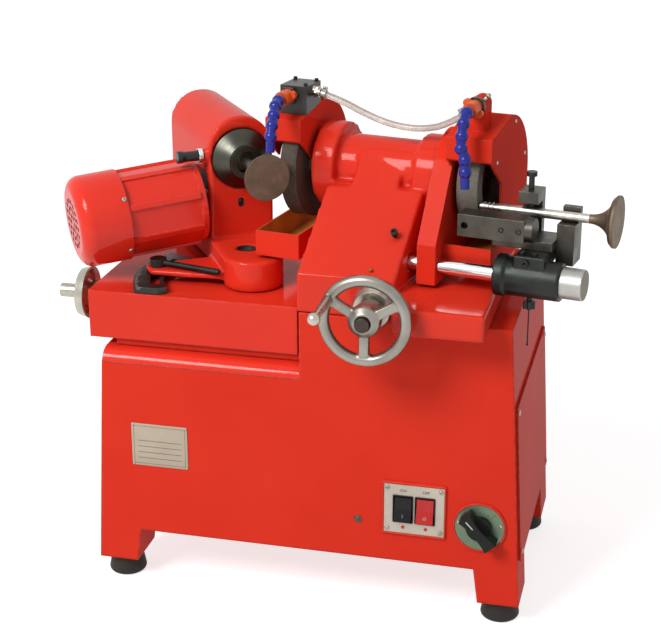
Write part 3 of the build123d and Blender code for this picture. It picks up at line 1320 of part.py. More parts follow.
# Wheel head casting: saddle, column with sloping face, spindle barrel
SADDLE_LOW = TABLE_LEVEL + SADDLE_GAP
crease_run = WHEEL_Y - COLUMN_FRONT
crease_rise = SPINDLE_HEIGHT - COLUMN_CREASE
to_barrel = hypot(crease_run, crease_rise)
slope = atan2(crease_rise, crease_run) + asin(BARREL_RADIUS / to_barrel)
touch = sqrt(to_barrel**2 - BARREL_RADIUS**2)
touch_front = (COLUMN_FRONT + touch * cos(slope), COLUMN_CREASE + touch * sin(slope))
touch_rear = (2 * WHEEL_Y - touch_front[0], touch_front[1])
COLUMN_START = SADDLE_LEFT - SADDLE_RIGHT
COLUMN_SPAN = 2 * (SADDLE_RIGHT - SADDLE_LEFT)
with BuildPart() as wheelhead_casting:
    column_side = outline(
        Plane.YZ.offset(COLUMN_START),
        (COLUMN_FRONT, SADDLE_LOW),
        (COLUMN_FRONT, COLUMN_CREASE),
        touch_front,
        touch_rear,
        (COLUMN_REAR, COLUMN_CREASE),
        (COLUMN_REAR, SADDLE_LOW),
    )
    extrude(column_side, amount=COLUMN_SPAN)
    split(bisect_by=wheel_across(COLUMN_LEFT), keep=Keep.TOP)
    split(bisect_by=wheel_across(COLUMN_RIGHT), keep=Keep.BOTTOM)
    # Shoulders beside the barrel
    left_shoulder = panel(
        wheel_across(COLUMN_LEFT), COLUMN_FRONT, COLUMN_REAR, -SHOULDER_DROP, 2 * BARREL_RADIUS
    )
    extrude(left_shoulder, amount=SHOULDER_LEFT - COLUMN_LEFT, mode=Mode.SUBTRACT)
    right_shoulder = panel(
        wheel_across(SHOULDER_RIGHT), COLUMN_FRONT, COLUMN_REAR, -SHOULDER_DROP, 2 * BARREL_RADIUS
    )
    extrude(right_shoulder, amount=COLUMN_RIGHT - SHOULDER_RIGHT, mode=Mode.SUBTRACT)
    # Saddle plate with the wing at the right
    saddle_plan = outline(
        Plane.XY.offset(SADDLE_LOW),
        (SADDLE_LEFT, COLUMN_FRONT),
        (SADDLE_WING_LEFT, COLUMN_FRONT),
        (SADDLE_WING_LEFT, SADDLE_WING_FRONT),
        (SADDLE_RIGHT, SADDLE_WING_FRONT),
        (SADDLE_RIGHT, COLUMN_REAR),
        (SADDLE_LEFT, COLUMN_REAR),
    )
    extrude(saddle_plan, amount=SADDLE_TOP - SADDLE_LOW)
    # Barrel and its two flanges
    extrude(
        disc(wheel_across(LEFT_FLANGE_END), BARREL_RADIUS), amount=RIGHT_FLANGE_START - LEFT_FLANGE_END
    )
    extrude(
        disc(wheel_across(LEFT_FLANGE_START), LEFT_FLANGE_RADIUS), amount=LEFT_FLANGE_END - LEFT_FLANGE_START
    )
    extrude(
        disc(wheel_across(RIGHT_FLANGE_START), RIGHT_FLANGE_RADIUS),
        amount=RIGHT_FLANGE_END - RIGHT_FLANGE_START,
    )
    # Boss for the feed screw
    column_face = Plane.XZ.offset(-COLUMN_FRONT)
    extrude(disc(column_face, FEED_BOSS_RADIUS, (FEED_X, FEED_Z)), amount=FEED_BOSS_LENGTH)
    # Hollow column, open below
    front_wall = COLUMN_FRONT + 2 * COLUMN_WALL
    hollow_top = -BARREL_RADIUS - COLUMN_WALL
    hollow_low = SADDLE_LOW - SPINDLE_HEIGHT
    hollow = outline(
        wheel_across(COLUMN_LEFT + COLUMN_WALL),
        (front_wall, hollow_low),
        (front_wall, COLUMN_CREASE - SPINDLE_HEIGHT),
        (front_wall - hollow_top, hollow_top),
        (COLUMN_REAR + hollow_top, hollow_top),
        (COLUMN_REAR - 2 * COLUMN_WALL, COLUMN_CREASE - SPINDLE_HEIGHT - COLUMN_WALL),
        (COLUMN_REAR - 2 * COLUMN_WALL, hollow_low),
    )
    extrude(hollow, amount=COLUMN_RIGHT - COLUMN_LEFT - 2 * COLUMN_WALL, mode=Mode.SUBTRACT)
    # Spindle bore, bearing seats, pulley room and belt way
    left_seat = LEFT_FLANGE_START + BEARING_SETBACK + BEARING_WIDTH
    right_seat = RIGHT_FLANGE_END - BEARING_SETBACK - BEARING_WIDTH
    pulley_left = PULLEY_ALONG - PULLEY_WIDTH / 2 - PULLEY_ROOM / 2
    pulley_right = PULLEY_ALONG + PULLEY_WIDTH / 2 + PULLEY_ROOM / 2
    spindle_room = outline(
        wheel_level(0),
        (LEFT_FLANGE_START, 0),
        (LEFT_FLANGE_START, BEARING_RADIUS),
        (left_seat, BEARING_RADIUS),
        (left_seat, SPINDLE_BORE),
        (pulley_left, SPINDLE_BORE),
        (pulley_left, PULLEY_RADIUS + PULLEY_ROOM),
        (pulley_right, PULLEY_RADIUS + PULLEY_ROOM),
        (pulley_right, SPINDLE_BORE),
        (right_seat, SPINDLE_BORE),
        (right_seat, BEARING_RADIUS),
        (RIGHT_FLANGE_END, BEARING_RADIUS),
        (RIGHT_FLANGE_END, 0),
    )
    revolve(spindle_room, axis=WHEEL_AXIS, mode=Mode.SUBTRACT)
    belt_way = panel(
        wheel_level(0),
        pulley_left,
        pulley_right,
        -PULLEY_RADIUS - PULLEY_ROOM,
        PULLEY_RADIUS + PULLEY_ROOM,
    )
    extrude(belt_way, amount=hollow_top - COLUMN_WALL, mode=Mode.SUBTRACT)
    # Grooves for the slideways
    for middle in way_middles:
        groove = panel(
            Plane.XZ.offset(-COLUMN_REAR),
            middle - TABLE_WAY_WIDTH / 2 - RUNNING_GAP,
            middle + TABLE_WAY_WIDTH / 2 + RUNNING_GAP,
            SADDLE_LOW,
            TABLE_LEVEL + TABLE_WAY_HEIGHT + RUNNING_GAP,
        )
        extrude(groove, amount=COLUMN_REAR - COLUMN_FRONT - COLUMN_WALL, mode=Mode.SUBTRACT)
    # Holes for the feed screw and the attachment bar
    screw_hole = disc(
        column_face.offset(FEED_BOSS_LENGTH), FEED_SCREW_RADIUS + SHAFT_GAP, (FEED_X, FEED_Z)
    )
    extrude(screw_hole, amount=-FEED_BOSS_LENGTH - 4 * COLUMN_WALL, mode=Mode.SUBTRACT)
    bar_hole = disc(wheel_across(COLUMN_RIGHT), BAR_RADIUS + SEAT_GAP, (BAR_BACK, BAR_UP))
    extrude(bar_hole, amount=-2 * COLUMN_WALL, mode=Mode.SUBTRACT)
save(wheelhead_casting, "wheelhead_casting")

# Wheel spindle bearings
with BuildPart() as spindle_bearings:
    for start in (LEFT_FLANGE_START + BEARING_SETBACK, right_seat):
        with BuildSketch(wheel_across(start)):
            Circle(BEARING_RADIUS - SEAT_GAP)
            Circle(SPINDLE_RADIUS + SHAFT_GAP, mode=Mode.SUBTRACT)
        extrude(amount=BEARING_WIDTH)
save(spindle_bearings, "spindle_bearings")

# Wheel spindle with its flanges, nuts and pulley
GRIND_END = GRIND_START + GRIND_WIDTH
CUP_SEAT = CUP_START + CUP_BACK
with BuildPart() as wheel_spindle:
    left_tip = GRIND_START - WHEEL_FLANGE_WIDTH - SPINDLE_NUT_WIDTH
    right_tip = CUP_SEAT + SPINDLE_NUT_WIDTH
    belt_seat = PULLEY_RADIUS - BELT_THICKNESS
    lathe = outline(
        wheel_level(0),
        (left_tip, 0),
        (left_tip, SPINDLE_NUT_RADIUS),
        (left_tip + SPINDLE_NUT_WIDTH, SPINDLE_NUT_RADIUS),
        (left_tip + SPINDLE_NUT_WIDTH, WHEEL_FLANGE_RADIUS),
        (GRIND_START, WHEEL_FLANGE_RADIUS),
        (GRIND_START, SPINDLE_RADIUS),
        (GRIND_END, SPINDLE_RADIUS),
        (GRIND_END, WHEEL_FLANGE_RADIUS),
        (GRIND_END + WHEEL_FLANGE_WIDTH, WHEEL_FLANGE_RADIUS),
        (GRIND_END + WHEEL_FLANGE_WIDTH, SPINDLE_RADIUS),
        (PULLEY_ALONG - PULLEY_WIDTH / 2, SPINDLE_RADIUS),
        (PULLEY_ALONG - PULLEY_WIDTH / 2, PULLEY_RADIUS),
        (PULLEY_ALONG - BELT_WIDTH / 2 - RUNNING_GAP, PULLEY_RADIUS),
        (PULLEY_ALONG - BELT_WIDTH / 2 - RUNNING_GAP, belt_seat),
        (PULLEY_ALONG + BELT_WIDTH / 2 + RUNNING_GAP, belt_seat),
        (PULLEY_ALONG + BELT_WIDTH / 2 + RUNNING_GAP, PULLEY_RADIUS),
        (PULLEY_ALONG + PULLEY_WIDTH / 2, PULLEY_RADIUS),
        (PULLEY_ALONG + PULLEY_WIDTH / 2, SPINDLE_RADIUS),
        (CUP_SEAT, SPINDLE_RADIUS),
        (CUP_SEAT, SPINDLE_NUT_RADIUS + WHEEL_FLANGE_WIDTH),
        (right_tip, SPINDLE_NUT_RADIUS + WHEEL_FLANGE_WIDTH),
        (right_tip, 0),
    )
    revolve(lathe, axis=WHEEL_AXIS)
save(wheel_spindle, "wheel_spindle")

with BuildPart() as grinding_wheel:
    with BuildSketch(wheel_across(GRIND_START)):
        Circle(GRIND_RADIUS)
        Circle(SPINDLE_RADIUS + SEAT_GAP, mode=Mode.SUBTRACT)
    extrude(amount=GRIND_WIDTH)
save(grinding_wheel, "grinding_wheel")

with BuildPart() as cup_wheel:
    cup_profile = outline(
        wheel_level(0),
        (CUP_START, SPINDLE_RADIUS + SEAT_GAP),
        (CUP_START, CUP_RADIUS - CUP_TAPER),
        (CUP_FACE, CUP_RADIUS),
        (CUP_FACE, CUP_RADIUS - CUP_RIM),
        (CUP_SEAT, CUP_RADIUS - CUP_RIM - CUP_TAPER),
        (CUP_SEAT, SPINDLE_RADIUS + SEAT_GAP),
    )
    revolve(cup_profile, axis=WHEEL_AXIS)
save(cup_wheel, "cup_wheel")


def guard_face(plane, inset, jaw_low, foot):
    """Side outline of a wheel guard: flat front, sloping brow, round back and open jaw."""
    radius = GUARD_RADIUS - inset
    ridge = (GUARD_RIDGE, sqrt(radius**2 - GUARD_RIDGE**2))
    back_turn = radians(45)
    with BuildSketch(plane) as face:
        with BuildLine():
            Polyline(
                (GUARD_JAW, foot),
                (GUARD_JAW, jaw_low),
                (GUARD_FRONT + inset, GUARD_CHIN - inset),
                (GUARD_FRONT + inset, GUARD_BROW - inset),
                ridge,
            )
            ThreePointArc(ridge, (radius * sin(back_turn), radius * cos(back_turn)), (radius, 0))
            if foot < 0:
                Line((radius, 0), (radius, foot))
            Line((radius, foot), (GUARD_JAW, foot))
        make_face()
    return face.sketch


# Left guard: a hood over the grinding wheel
with BuildPart() as left_guard:
    hood_width = LEFT_GUARD_END - LEFT_GUARD_START
    extrude(guard_face(wheel_across(LEFT_GUARD_START), 0, GUARD_WALL, 0), amount=hood_width)
    hood_room = guard_face(wheel_across(LEFT_GUARD_START + GUARD_WALL), GUARD_WALL, GUARD_WALL, 0)
    extrude(hood_room, amount=hood_width - 2 * GUARD_WALL, mode=Mode.SUBTRACT)
    spindle_pass = disc(wheel_across(LEFT_GUARD_START), WHEEL_FLANGE_RADIUS + GUARD_WALL)
    extrude(spindle_pass, amount=hood_width, mode=Mode.SUBTRACT)
    chin_pass = panel(
        wheel_across(LEFT_GUARD_START + GUARD_WALL),
        GUARD_FRONT + GUARD_WALL,
        GUARD_JAW + GUARD_WALL,
        0,
        GUARD_CHIN + GUARD_WALL,
    )
    extrude(chin_pass, amount=hood_width - 2 * GUARD_WALL, mode=Mode.SUBTRACT)
    lug = panel(wheel_across(LEFT_GUARD_END), -LUG_HALF, LUG_HALF, LUG_LOW, LUG_HIGH)
    extrude(lug, amount=LEFT_FLANGE_START - LEFT_GUARD_END)
save(left_guard, "left_guard")

# Right guard: a box over the cup wheel, with the arm that holds the attachment bar and the coolant post
POST_MIDDLE = POST_START + POST_WIDTH / 2
POST_ROUND_UP = POST_TOP - POST_WIDTH / 2
with BuildPart() as right_guard:
    box_width = RIGHT_GUARD_END - ARM_END
    extrude(guard_face(wheel_across(ARM_END), 0, GUARD_WALL, RIGHT_GUARD_FOOT), amount=box_width)
    # Coolant post on the brow
    post_depth = POST_BACK - POST_FRONT
    extrude(
        panel(wheel_facing(POST_BACK), POST_START, POST_START + POST_WIDTH, GUARD_CHIN, POST_ROUND_UP),
        amount=post_depth,
    )
    extrude(disc(wheel_facing(POST_BACK), POST_WIDTH / 2, (POST_MIDDLE, POST_ROUND_UP)), amount=post_depth)
    # Inside of the box, open at the front and below
    box_room = guard_face(wheel_across(ARM_END), GUARD_WALL, GUARD_WALL, RIGHT_GUARD_FOOT)
    extrude(box_room, amount=box_width - GUARD_WALL, mode=Mode.SUBTRACT)
    jaw_pass = panel(
        wheel_across(ARM_END),
        GUARD_FRONT + GUARD_WALL,
        GUARD_JAW + GUARD_WALL,
        RIGHT_GUARD_FOOT,
        GUARD_CHIN + GUARD_WALL,
    )
    extrude(jaw_pass, amount=box_width - GUARD_WALL, mode=Mode.SUBTRACT)
    # Arm plate
    arm_reach = hypot(ARM_FRONT, ARM_KNEE)
    arm_turn = atan2(ARM_KNEE, ARM_FRONT) + asin(ARM_HUB_RADIUS / arm_reach) - pi / 2
    arm_lean = radians(ARM_BACK_LEAN)
    arm_touch = (ARM_HUB_RADIUS * cos(arm_turn), ARM_HUB_RADIUS * sin(arm_turn))
    arm_side = outline(
        wheel_across(ARM_START),
        arm_touch,
        (ARM_FRONT, ARM_KNEE),
        (ARM_FRONT, ARM_FOOT),
        (ARM_BACK, ARM_FOOT),
        (ARM_HUB_RADIUS * sin(arm_lean), -ARM_HUB_RADIUS * cos(arm_lean)),
        (0, 0),
    )
    extrude(disc(wheel_across(ARM_START), ARM_HUB_RADIUS), amount=ARM_END - ARM_START)
    extrude(arm_side, amount=ARM_END - ARM_START)
    wall_plan = guard_face(wheel_across(ARM_END), 0, GUARD_WALL, RIGHT_GUARD_FOOT)
    extrude(wall_plan, amount=-GUARD_WALL)
    # Holes for the spindle and the bar
    extrude(
        disc(wheel_across(ARM_START), SPINDLE_NUT_RADIUS + WHEEL_FLANGE_WIDTH),
        amount=ARM_END - ARM_START,
        mode=Mode.SUBTRACT,
    )
    extrude(
        disc(wheel_across(ARM_START), BAR_RADIUS + SEAT_GAP, (BAR_BACK, BAR_UP)),
        amount=ARM_END - ARM_START,
        mode=Mode.SUBTRACT,
    )
save(right_guard, "right_guard")


def tray(start, end, near, far, low, top, left_wall):
    """Open sheet-metal tray, as a block with a rectangular room."""
    with BuildPart() as pan:
        extrude(panel(wheel_level(low), start, end, near, far), amount=top - low)
        room = panel(
            wheel_level(low + TRAY_WALL),
            start + left_wall,
            end - TRAY_WALL,
            near + TRAY_WALL,
            far - TRAY_WALL,
        )
        extrude(room, amount=top - low, mode=Mode.SUBTRACT)
    return pan


# Left tray with the bracket that reaches the column
with BuildPart() as left_tray:
    add(
        tray(
            LEFT_TRAY_START,
            LEFT_TRAY_END,
            LEFT_TRAY_FRONT,
            LEFT_TRAY_REAR,
            LEFT_TRAY_LOW,
            LEFT_TRAY_TOP,
            TRAY_WALL,
        ).part
    )
    bracket = panel(
        wheel_level(LEFT_TRAY_LOW), LEFT_TRAY_END, COLUMN_LEFT, -TRAY_BRACKET_HALF, TRAY_BRACKET_HALF
    )
    extrude(bracket, amount=GUARD_WALL)
save(left_tray, "left_tray")

# Right tray, whose left side is closed by the arm
right_tray = tray(
    ARM_END, RIGHT_TRAY_END, RIGHT_TRAY_FRONT, RIGHT_TRAY_REAR, RIGHT_TRAY_LOW, RIGHT_TRAY_TOP, 0
)
save(right_tray, "right_tray")

# Wheel motor, hung from the saddle by its foot
WHEEL_MOTOR_AXIS = Axis(wheel_at(0, 0, -WHEEL_MOTOR_DROP), WHEEL_ALONG)
with BuildPart() as wheel_motor:
    motor_start = wheel_across(WHEEL_MOTOR_START)
    extrude(disc(motor_start, WHEEL_MOTOR_RADIUS, (0, -WHEEL_MOTOR_DROP)), amount=WHEEL_MOTOR_LENGTH)
    foot = panel(
        wheel_level(-WHEEL_MOTOR_DROP),
        WHEEL_MOTOR_FOOT_START,
        WHEEL_MOTOR_FOOT_START + WHEEL_MOTOR_FOOT_LENGTH,
        -WHEEL_MOTOR_FOOT_HALF,
        WHEEL_MOTOR_FOOT_HALF,
    )
    extrude(foot, amount=WHEEL_MOTOR_DROP - SPINDLE_HEIGHT + SADDLE_LOW)
    shaft_room = disc(motor_start, WHEEL_MOTOR_SHAFT_RADIUS + SHAFT_GAP, (0, -WHEEL_MOTOR_DROP))
    extrude(shaft_room, amount=WHEEL_MOTOR_LENGTH - MOTOR_END_WALL, mode=Mode.SUBTRACT)
save(wheel_motor, "wheel_motor")

# Motor pulley with its shaft
with BuildPart() as motor_pulley:
    motor_seat = MOTOR_PULLEY_RADIUS - BELT_THICKNESS
    drive = outline(
        wheel_level(-WHEEL_MOTOR_DROP),
        (PULLEY_ALONG - PULLEY_WIDTH / 2, 0),
        (PULLEY_ALONG - PULLEY_WIDTH / 2, MOTOR_PULLEY_RADIUS),
        (PULLEY_ALONG - BELT_WIDTH / 2 - RUNNING_GAP, MOTOR_PULLEY_RADIUS),
        (PULLEY_ALONG - BELT_WIDTH / 2 - RUNNING_GAP, motor_seat),
        (PULLEY_ALONG + BELT_WIDTH / 2 + RUNNING_GAP, motor_seat),
        (PULLEY_ALONG + BELT_WIDTH / 2 + RUNNING_GAP, MOTOR_PULLEY_RADIUS),
        (PULLEY_ALONG + PULLEY_WIDTH / 2, MOTOR_PULLEY_RADIUS),
        (PULLEY_ALONG + PULLEY_WIDTH / 2, WHEEL_MOTOR_SHAFT_RADIUS),
        (WHEEL_MOTOR_START + WHEEL_MOTOR_LENGTH / 2, WHEEL_MOTOR_SHAFT_RADIUS),
        (WHEEL_MOTOR_START + WHEEL_MOTOR_LENGTH / 2, 0),
    )
    revolve(drive, axis=WHEEL_MOTOR_AXIS)
save(motor_pulley, "motor_pulley")


def belt_loop(plane, lift):
    """Closed loop round both pulleys, at a height over their belt seats."""
    small = belt_seat + lift
    large = motor_seat + lift
    lean = asin((large - small) / WHEEL_MOTOR_DROP)
    across = cos(lean)
    along = sin(lean)
    with BuildSketch(plane) as loop:
        with BuildLine():
            right_top = (small * across, small * along)
            left_top = (-small * across, small * along)
            right_low = (large * across, large * along - WHEEL_MOTOR_DROP)
            left_low = (-large * across, large * along - WHEEL_MOTOR_DROP)
            ThreePointArc(left_top, (0, small), right_top)
            Line(right_top, right_low)
            ThreePointArc(right_low, (0, -WHEEL_MOTOR_DROP - large), left_low)
            Line(left_low, left_top)
        make_face()
    return loop.sketch


# Drive belt
with BuildPart() as drive_belt:
    belt_plane = wheel_across(PULLEY_ALONG - BELT_WIDTH / 2)
    extrude(belt_loop(belt_plane, BELT_THICKNESS), amount=BELT_WIDTH)
    extrude(belt_loop(belt_plane, RUNNING_GAP), amount=BELT_WIDTH, mode=Mode.SUBTRACT)
save(drive_belt, "drive_belt")

# Cross-feed screw, collar and front handwheel
COLLAR_BACK = COLUMN_FRONT - FEED_BOSS_LENGTH - RUNNING_GAP
COLLAR_FRONT = COLLAR_BACK - COLLAR_LENGTH
HUB_FRONT = HANDWHEEL_Y - HANDWHEEL_HUB_FRONT
FEED_HALF = Plane(origin=(FEED_X, 0, FEED_Z), x_dir=(0, -1, 0), z_dir=(1, 0, 0))
with BuildPart() as feed_screw:
    feed_profile = outline(
        FEED_HALF,
        (-FEED_SCREW_REAR, 0),
        (-FEED_SCREW_REAR, FEED_SCREW_RADIUS),
        (-HUB_FRONT, FEED_SCREW_RADIUS),
        (-HUB_FRONT, HANDWHEEL_NUT_RADIUS + SEAT_GAP),
        (-HUB_FRONT + HANDWHEEL_NUT_LENGTH, HANDWHEEL_NUT_RADIUS),
        (-HUB_FRONT + HANDWHEEL_NUT_LENGTH + SEAT_GAP, 0),
    )
    revolve(feed_profile, axis=FEED_AXIS)
save(feed_screw, "feed_screw")

with BuildPart() as feed_collar:
    collar_profile = outline(
        FEED_HALF,
        (-COLLAR_BACK, FEED_SCREW_RADIUS + SEAT_GAP),
        (-COLLAR_BACK, COLLAR_RADIUS),
        (-COLLAR_FRONT - COLLAR_BEVEL_RUN, COLLAR_RADIUS),
        (-COLLAR_FRONT, COLLAR_RADIUS - COLLAR_BEVEL),
        (-COLLAR_FRONT, FEED_SCREW_RADIUS + SEAT_GAP),
    )
    revolve(collar_profile, axis=FEED_AXIS)
save(feed_collar, "feed_collar")

HANDLE_SPOT = (
    FEED_X + HANDWHEEL_RADIUS * cos(radians(HANDLE_ANGLE)),
    FEED_Z + HANDWHEEL_RADIUS * sin(radians(HANDLE_ANGLE)),
)
with BuildPart() as front_handwheel:
    rim_plane = Plane(origin=(FEED_X, HANDWHEEL_Y, FEED_Z), x_dir=(1, 0, 0), z_dir=(0, -1, 0))
    with Locations(rim_plane):
        Torus(HANDWHEEL_RADIUS, HANDWHEEL_RIM)
    hub_profile = outline(
        FEED_HALF,
        (-COLLAR_FRONT, FEED_SCREW_RADIUS + SEAT_GAP),
        (-COLLAR_FRONT, HANDWHEEL_HUB_BACK_RADIUS),
        (-HANDWHEEL_Y - SPOKE_THICKNESS / 2, HANDWHEEL_HUB_RADIUS),
        (-HANDWHEEL_Y + SPOKE_THICKNESS / 2, HANDWHEEL_HUB_RADIUS),
        (-HUB_FRONT, HANDWHEEL_HUB_FRONT_RADIUS),
        (-HUB_FRONT, FEED_SCREW_RADIUS + SEAT_GAP),
    )
    revolve(hub_profile, axis=FEED_AXIS)
    spoke_start = HANDWHEEL_HUB_FRONT_RADIUS
    spoke_length = HANDWHEEL_RADIUS - spoke_start
    with BuildSketch(rim_plane.offset(-SPOKE_THICKNESS / 2)):
        with PolarLocations(spoke_start + spoke_length / 2, SPOKE_COUNT, start_angle=SPOKE_START_ANGLE):
            Rectangle(spoke_length, SPOKE_WIDTH)
    extrude(amount=SPOKE_THICKNESS)
    # Pin that the handle turns on
    pin_floor = Plane(origin=(HANDLE_SPOT[0], HANDWHEEL_Y, HANDLE_SPOT[1]), z_dir=(0, -1, 0))
    extrude(disc(pin_floor, HANDLE_ROOT_RADIUS), amount=HANDWHEEL_RIM)
    extrude(disc(pin_floor, HANDLE_PIN_RADIUS), amount=HANDWHEEL_RIM + HANDLE_PIN_LENGTH)
save(front_handwheel, "front_handwheel")

with BuildPart() as crank_handle:
    handle_start = -HANDWHEEL_Y + HANDWHEEL_RIM + RUNNING_GAP
    ball = handle_start + HANDLE_LENGTH - HANDLE_BALL_RADIUS
    handle_half = Plane(origin=(HANDLE_SPOT[0], 0, HANDLE_SPOT[1]), x_dir=(0, -1, 0), z_dir=(1, 0, 0))
    bore = HANDLE_PIN_RADIUS + SHAFT_GAP
    bore_end = handle_start + HANDLE_PIN_LENGTH
    with BuildSketch(handle_half):
        with BuildLine():
            neck_end = ball - sqrt(HANDLE_BALL_RADIUS**2 - HANDLE_NECK_RADIUS**2)
            Polyline(
                (bore_end, 0),
                (bore_end, bore),
                (handle_start, bore),
                (handle_start, HANDLE_ROOT_RADIUS),
                (neck_end, HANDLE_NECK_RADIUS),
            )
            ThreePointArc(
                (neck_end, HANDLE_NECK_RADIUS), (ball, HANDLE_BALL_RADIUS), (ball + HANDLE_BALL_RADIUS, 0)
            )
            Line((ball + HANDLE_BALL_RADIUS, 0), (bore_end, 0))
        make_face()
    revolve(axis=Axis((HANDLE_SPOT[0], 0, HANDLE_SPOT[1]), (0, 1, 0)))
save(crank_handle, "crank_handle")

# Attachment bar through the arm
with BuildPart() as attachment_bar:
    bar_face = disc(wheel_across(BAR_START), BAR_RADIUS, (BAR_BACK, BAR_UP))
    extrude(bar_face, amount=BAR_END - BAR_START)
save(attachment_bar, "attachment_bar")

# Clamp body that swings on the bar, with the bracket for the slide
with BuildPart() as clamp_body:
    clamp_start = wheel_across(CLAMP_START)
    extrude(disc(clamp_start, CLAMP_BODY_RADIUS, (BAR_BACK, BAR_UP)), amount=CLAMP_END - CLAMP_START)
    extrude(disc(clamp_start, CLAMP_COLLAR_RADIUS, (BAR_BACK, BAR_UP)), amount=CLAMP_COLLAR_WIDTH)
    bracket_side = outline(
        wheel_across(BRACKET_START),
        (BRACKET_FRONT, BAR_UP + BAR_RADIUS),
        (BRACKET_FRONT, BRACKET_TOP),
        (BRACKET_BACK, BRACKET_TOP),
        (BRACKET_BACK, BRACKET_LOW),
        (BAR_BACK + CLAMP_BODY_RADIUS, BRACKET_LOW),
        (BAR_BACK + CLAMP_BODY_RADIUS, BAR_UP),
    )
    bracket_end = REST_START - STEM_FEED_IN - SLIDE_GAP
    extrude(bracket_side, amount=bracket_end - BRACKET_START)
    bar_room = disc(clamp_start, BAR_RADIUS + SHAFT_GAP, (BAR_BACK, BAR_UP))
    extrude(bar_room, amount=CLAMP_END - CLAMP_START, mode=Mode.SUBTRACT)
    lock_hole = disc(
        wheel_level(BAR_UP - CLAMP_BODY_RADIUS), LOCK_STEM_RADIUS + SHAFT_GAP, (LOCK_KNOB_ALONG, BAR_BACK)
    )
    extrude(lock_hole, amount=CLAMP_BODY_RADIUS, mode=Mode.SUBTRACT)
save(clamp_body, "clamp_body")

# Lock knob below the clamp
with BuildPart() as lock_knob:
    lock_top = wheel_level(BAR_UP - CLAMP_BODY_RADIUS - RUNNING_GAP)
    grip_depth = CLAMP_BODY_RADIUS - BAR_RADIUS - 2 * RUNNING_GAP
    extrude(disc(lock_top, LOCK_STEM_RADIUS, (LOCK_KNOB_ALONG, BAR_BACK)), amount=grip_depth)
    extrude(disc(lock_top, LOCK_STEM_RADIUS, (LOCK_KNOB_ALONG, BAR_BACK)), amount=-LOCK_STEM_LENGTH)
    with BuildSketch(lock_top.offset(-LOCK_STEM_LENGTH)):
        with Locations((LOCK_KNOB_ALONG, BAR_BACK)):
            Circle(LOCK_KNOB_RADIUS - LOCK_LOBE_RADIUS)
            with PolarLocations(LOCK_KNOB_RADIUS - LOCK_LOBE_RADIUS, LOCK_LOBE_COUNT):
                Circle(LOCK_LOBE_RADIUS)
    extrude(amount=-LOCK_KNOB_LENGTH)
save(lock_knob, "lock_knob")

# Micrometer knob at the clamp's end
with BuildPart() as micrometer_knob:
    knob_start = CLAMP_END + RUNNING_GAP
    knob_profile = outline(
        Plane(origin=wheel_at(0, BAR_BACK, BAR_UP), x_dir=WHEEL_ALONG, z_dir=UP),
        (knob_start, 0),
        (knob_start, KNOB_RADIUS),
        (knob_start + KNOB_LENGTH - KNOB_CHAMFER, KNOB_RADIUS),
        (knob_start + KNOB_LENGTH, KNOB_RADIUS - KNOB_CHAMFER),
        (knob_start + KNOB_LENGTH, 0),
    )
    revolve(knob_profile, axis=BAR_AXIS)
    spigot = disc(wheel_across(knob_start), BAR_RADIUS, (BAR_BACK, BAR_UP))
    extrude(spigot, amount=BAR_END + RUNNING_GAP - knob_start)
save(micrometer_knob, "micrometer_knob")

# V-block slide with its yoke
SLIDE_LOW = BRACKET_TOP + SLIDE_GAP
with BuildPart() as v_block:
    slide_plan = panel(wheel_level(SLIDE_LOW), SLIDE_START, SLIDE_END, SLIDE_FRONT, VBLOCK_REST_BACK)
    extrude(slide_plan, amount=SLIDE_THICKNESS)
    front_bar = panel(wheel_level(VBLOCK_LOW), VBLOCK_START, VBLOCK_END, VBLOCK_FRONT, VBLOCK_BACK)
    extrude(front_bar, amount=VBLOCK_TOP - VBLOCK_LOW)
    rest = panel(wheel_level(VBLOCK_LOW), SLIDE_START, VBLOCK_END, VBLOCK_BACK, VBLOCK_REST_BACK)
    extrude(rest, amount=VBLOCK_REST_TOP - VBLOCK_LOW)
    roller_face = disc(
        wheel_across(VBLOCK_END),
        ROLLER_RADIUS,
        ((VBLOCK_FRONT + VBLOCK_BACK) / 2, (VBLOCK_LOW + VBLOCK_TOP) / 2),
    )
    extrude(roller_face, amount=ROLLER_WIDTH)
    # Yoke post and head over the stem
    post = panel(
        wheel_level(SLIDE_LOW + SLIDE_THICKNESS / 2), YOKE_START, YOKE_END, YOKE_POST_FRONT, YOKE_POST_BACK
    )
    extrude(post, amount=YOKE_TOP - SLIDE_LOW - SLIDE_THICKNESS / 2)
    head = panel(wheel_level(YOKE_HEAD_LOW), YOKE_START, YOKE_END, YOKE_HEAD_FRONT, YOKE_POST_BACK)
    extrude(head, amount=YOKE_TOP - YOKE_HEAD_LOW)
    # V groove under the stem
    groove_drop = (VALVE_STEM_RADIUS + SEAT_GAP) * sqrt(2)
    groove_depth = STEM_UP - groove_drop
    groove_half = VBLOCK_REST_TOP - groove_depth
    vee = outline(
        wheel_across(SLIDE_START),
        (STEM_BACK, groove_depth),
        (STEM_BACK + groove_half, VBLOCK_REST_TOP),
        (STEM_BACK - groove_half, VBLOCK_REST_TOP),
    )
    extrude(vee, amount=VBLOCK_END - SLIDE_START, mode=Mode.SUBTRACT)
    thumb_spot = ((YOKE_START + YOKE_END) / 2, STEM_BACK)
    thumb_hole = disc(wheel_level(YOKE_HEAD_LOW), THUMB_RADIUS + SHAFT_GAP, thumb_spot)
    extrude(thumb_hole, amount=YOKE_TOP - YOKE_HEAD_LOW, mode=Mode.SUBTRACT)
    cross_hole = disc(
        wheel_facing(VBLOCK_FRONT),
        VBLOCK_HOLE_RADIUS,
        (VBLOCK_START + VBLOCK_HOLE_INSET, (VBLOCK_LOW + VBLOCK_TOP) / 2),
    )
    extrude(cross_hole, amount=VBLOCK_FRONT - VBLOCK_BACK, mode=Mode.SUBTRACT)
save(v_block, "v_block")

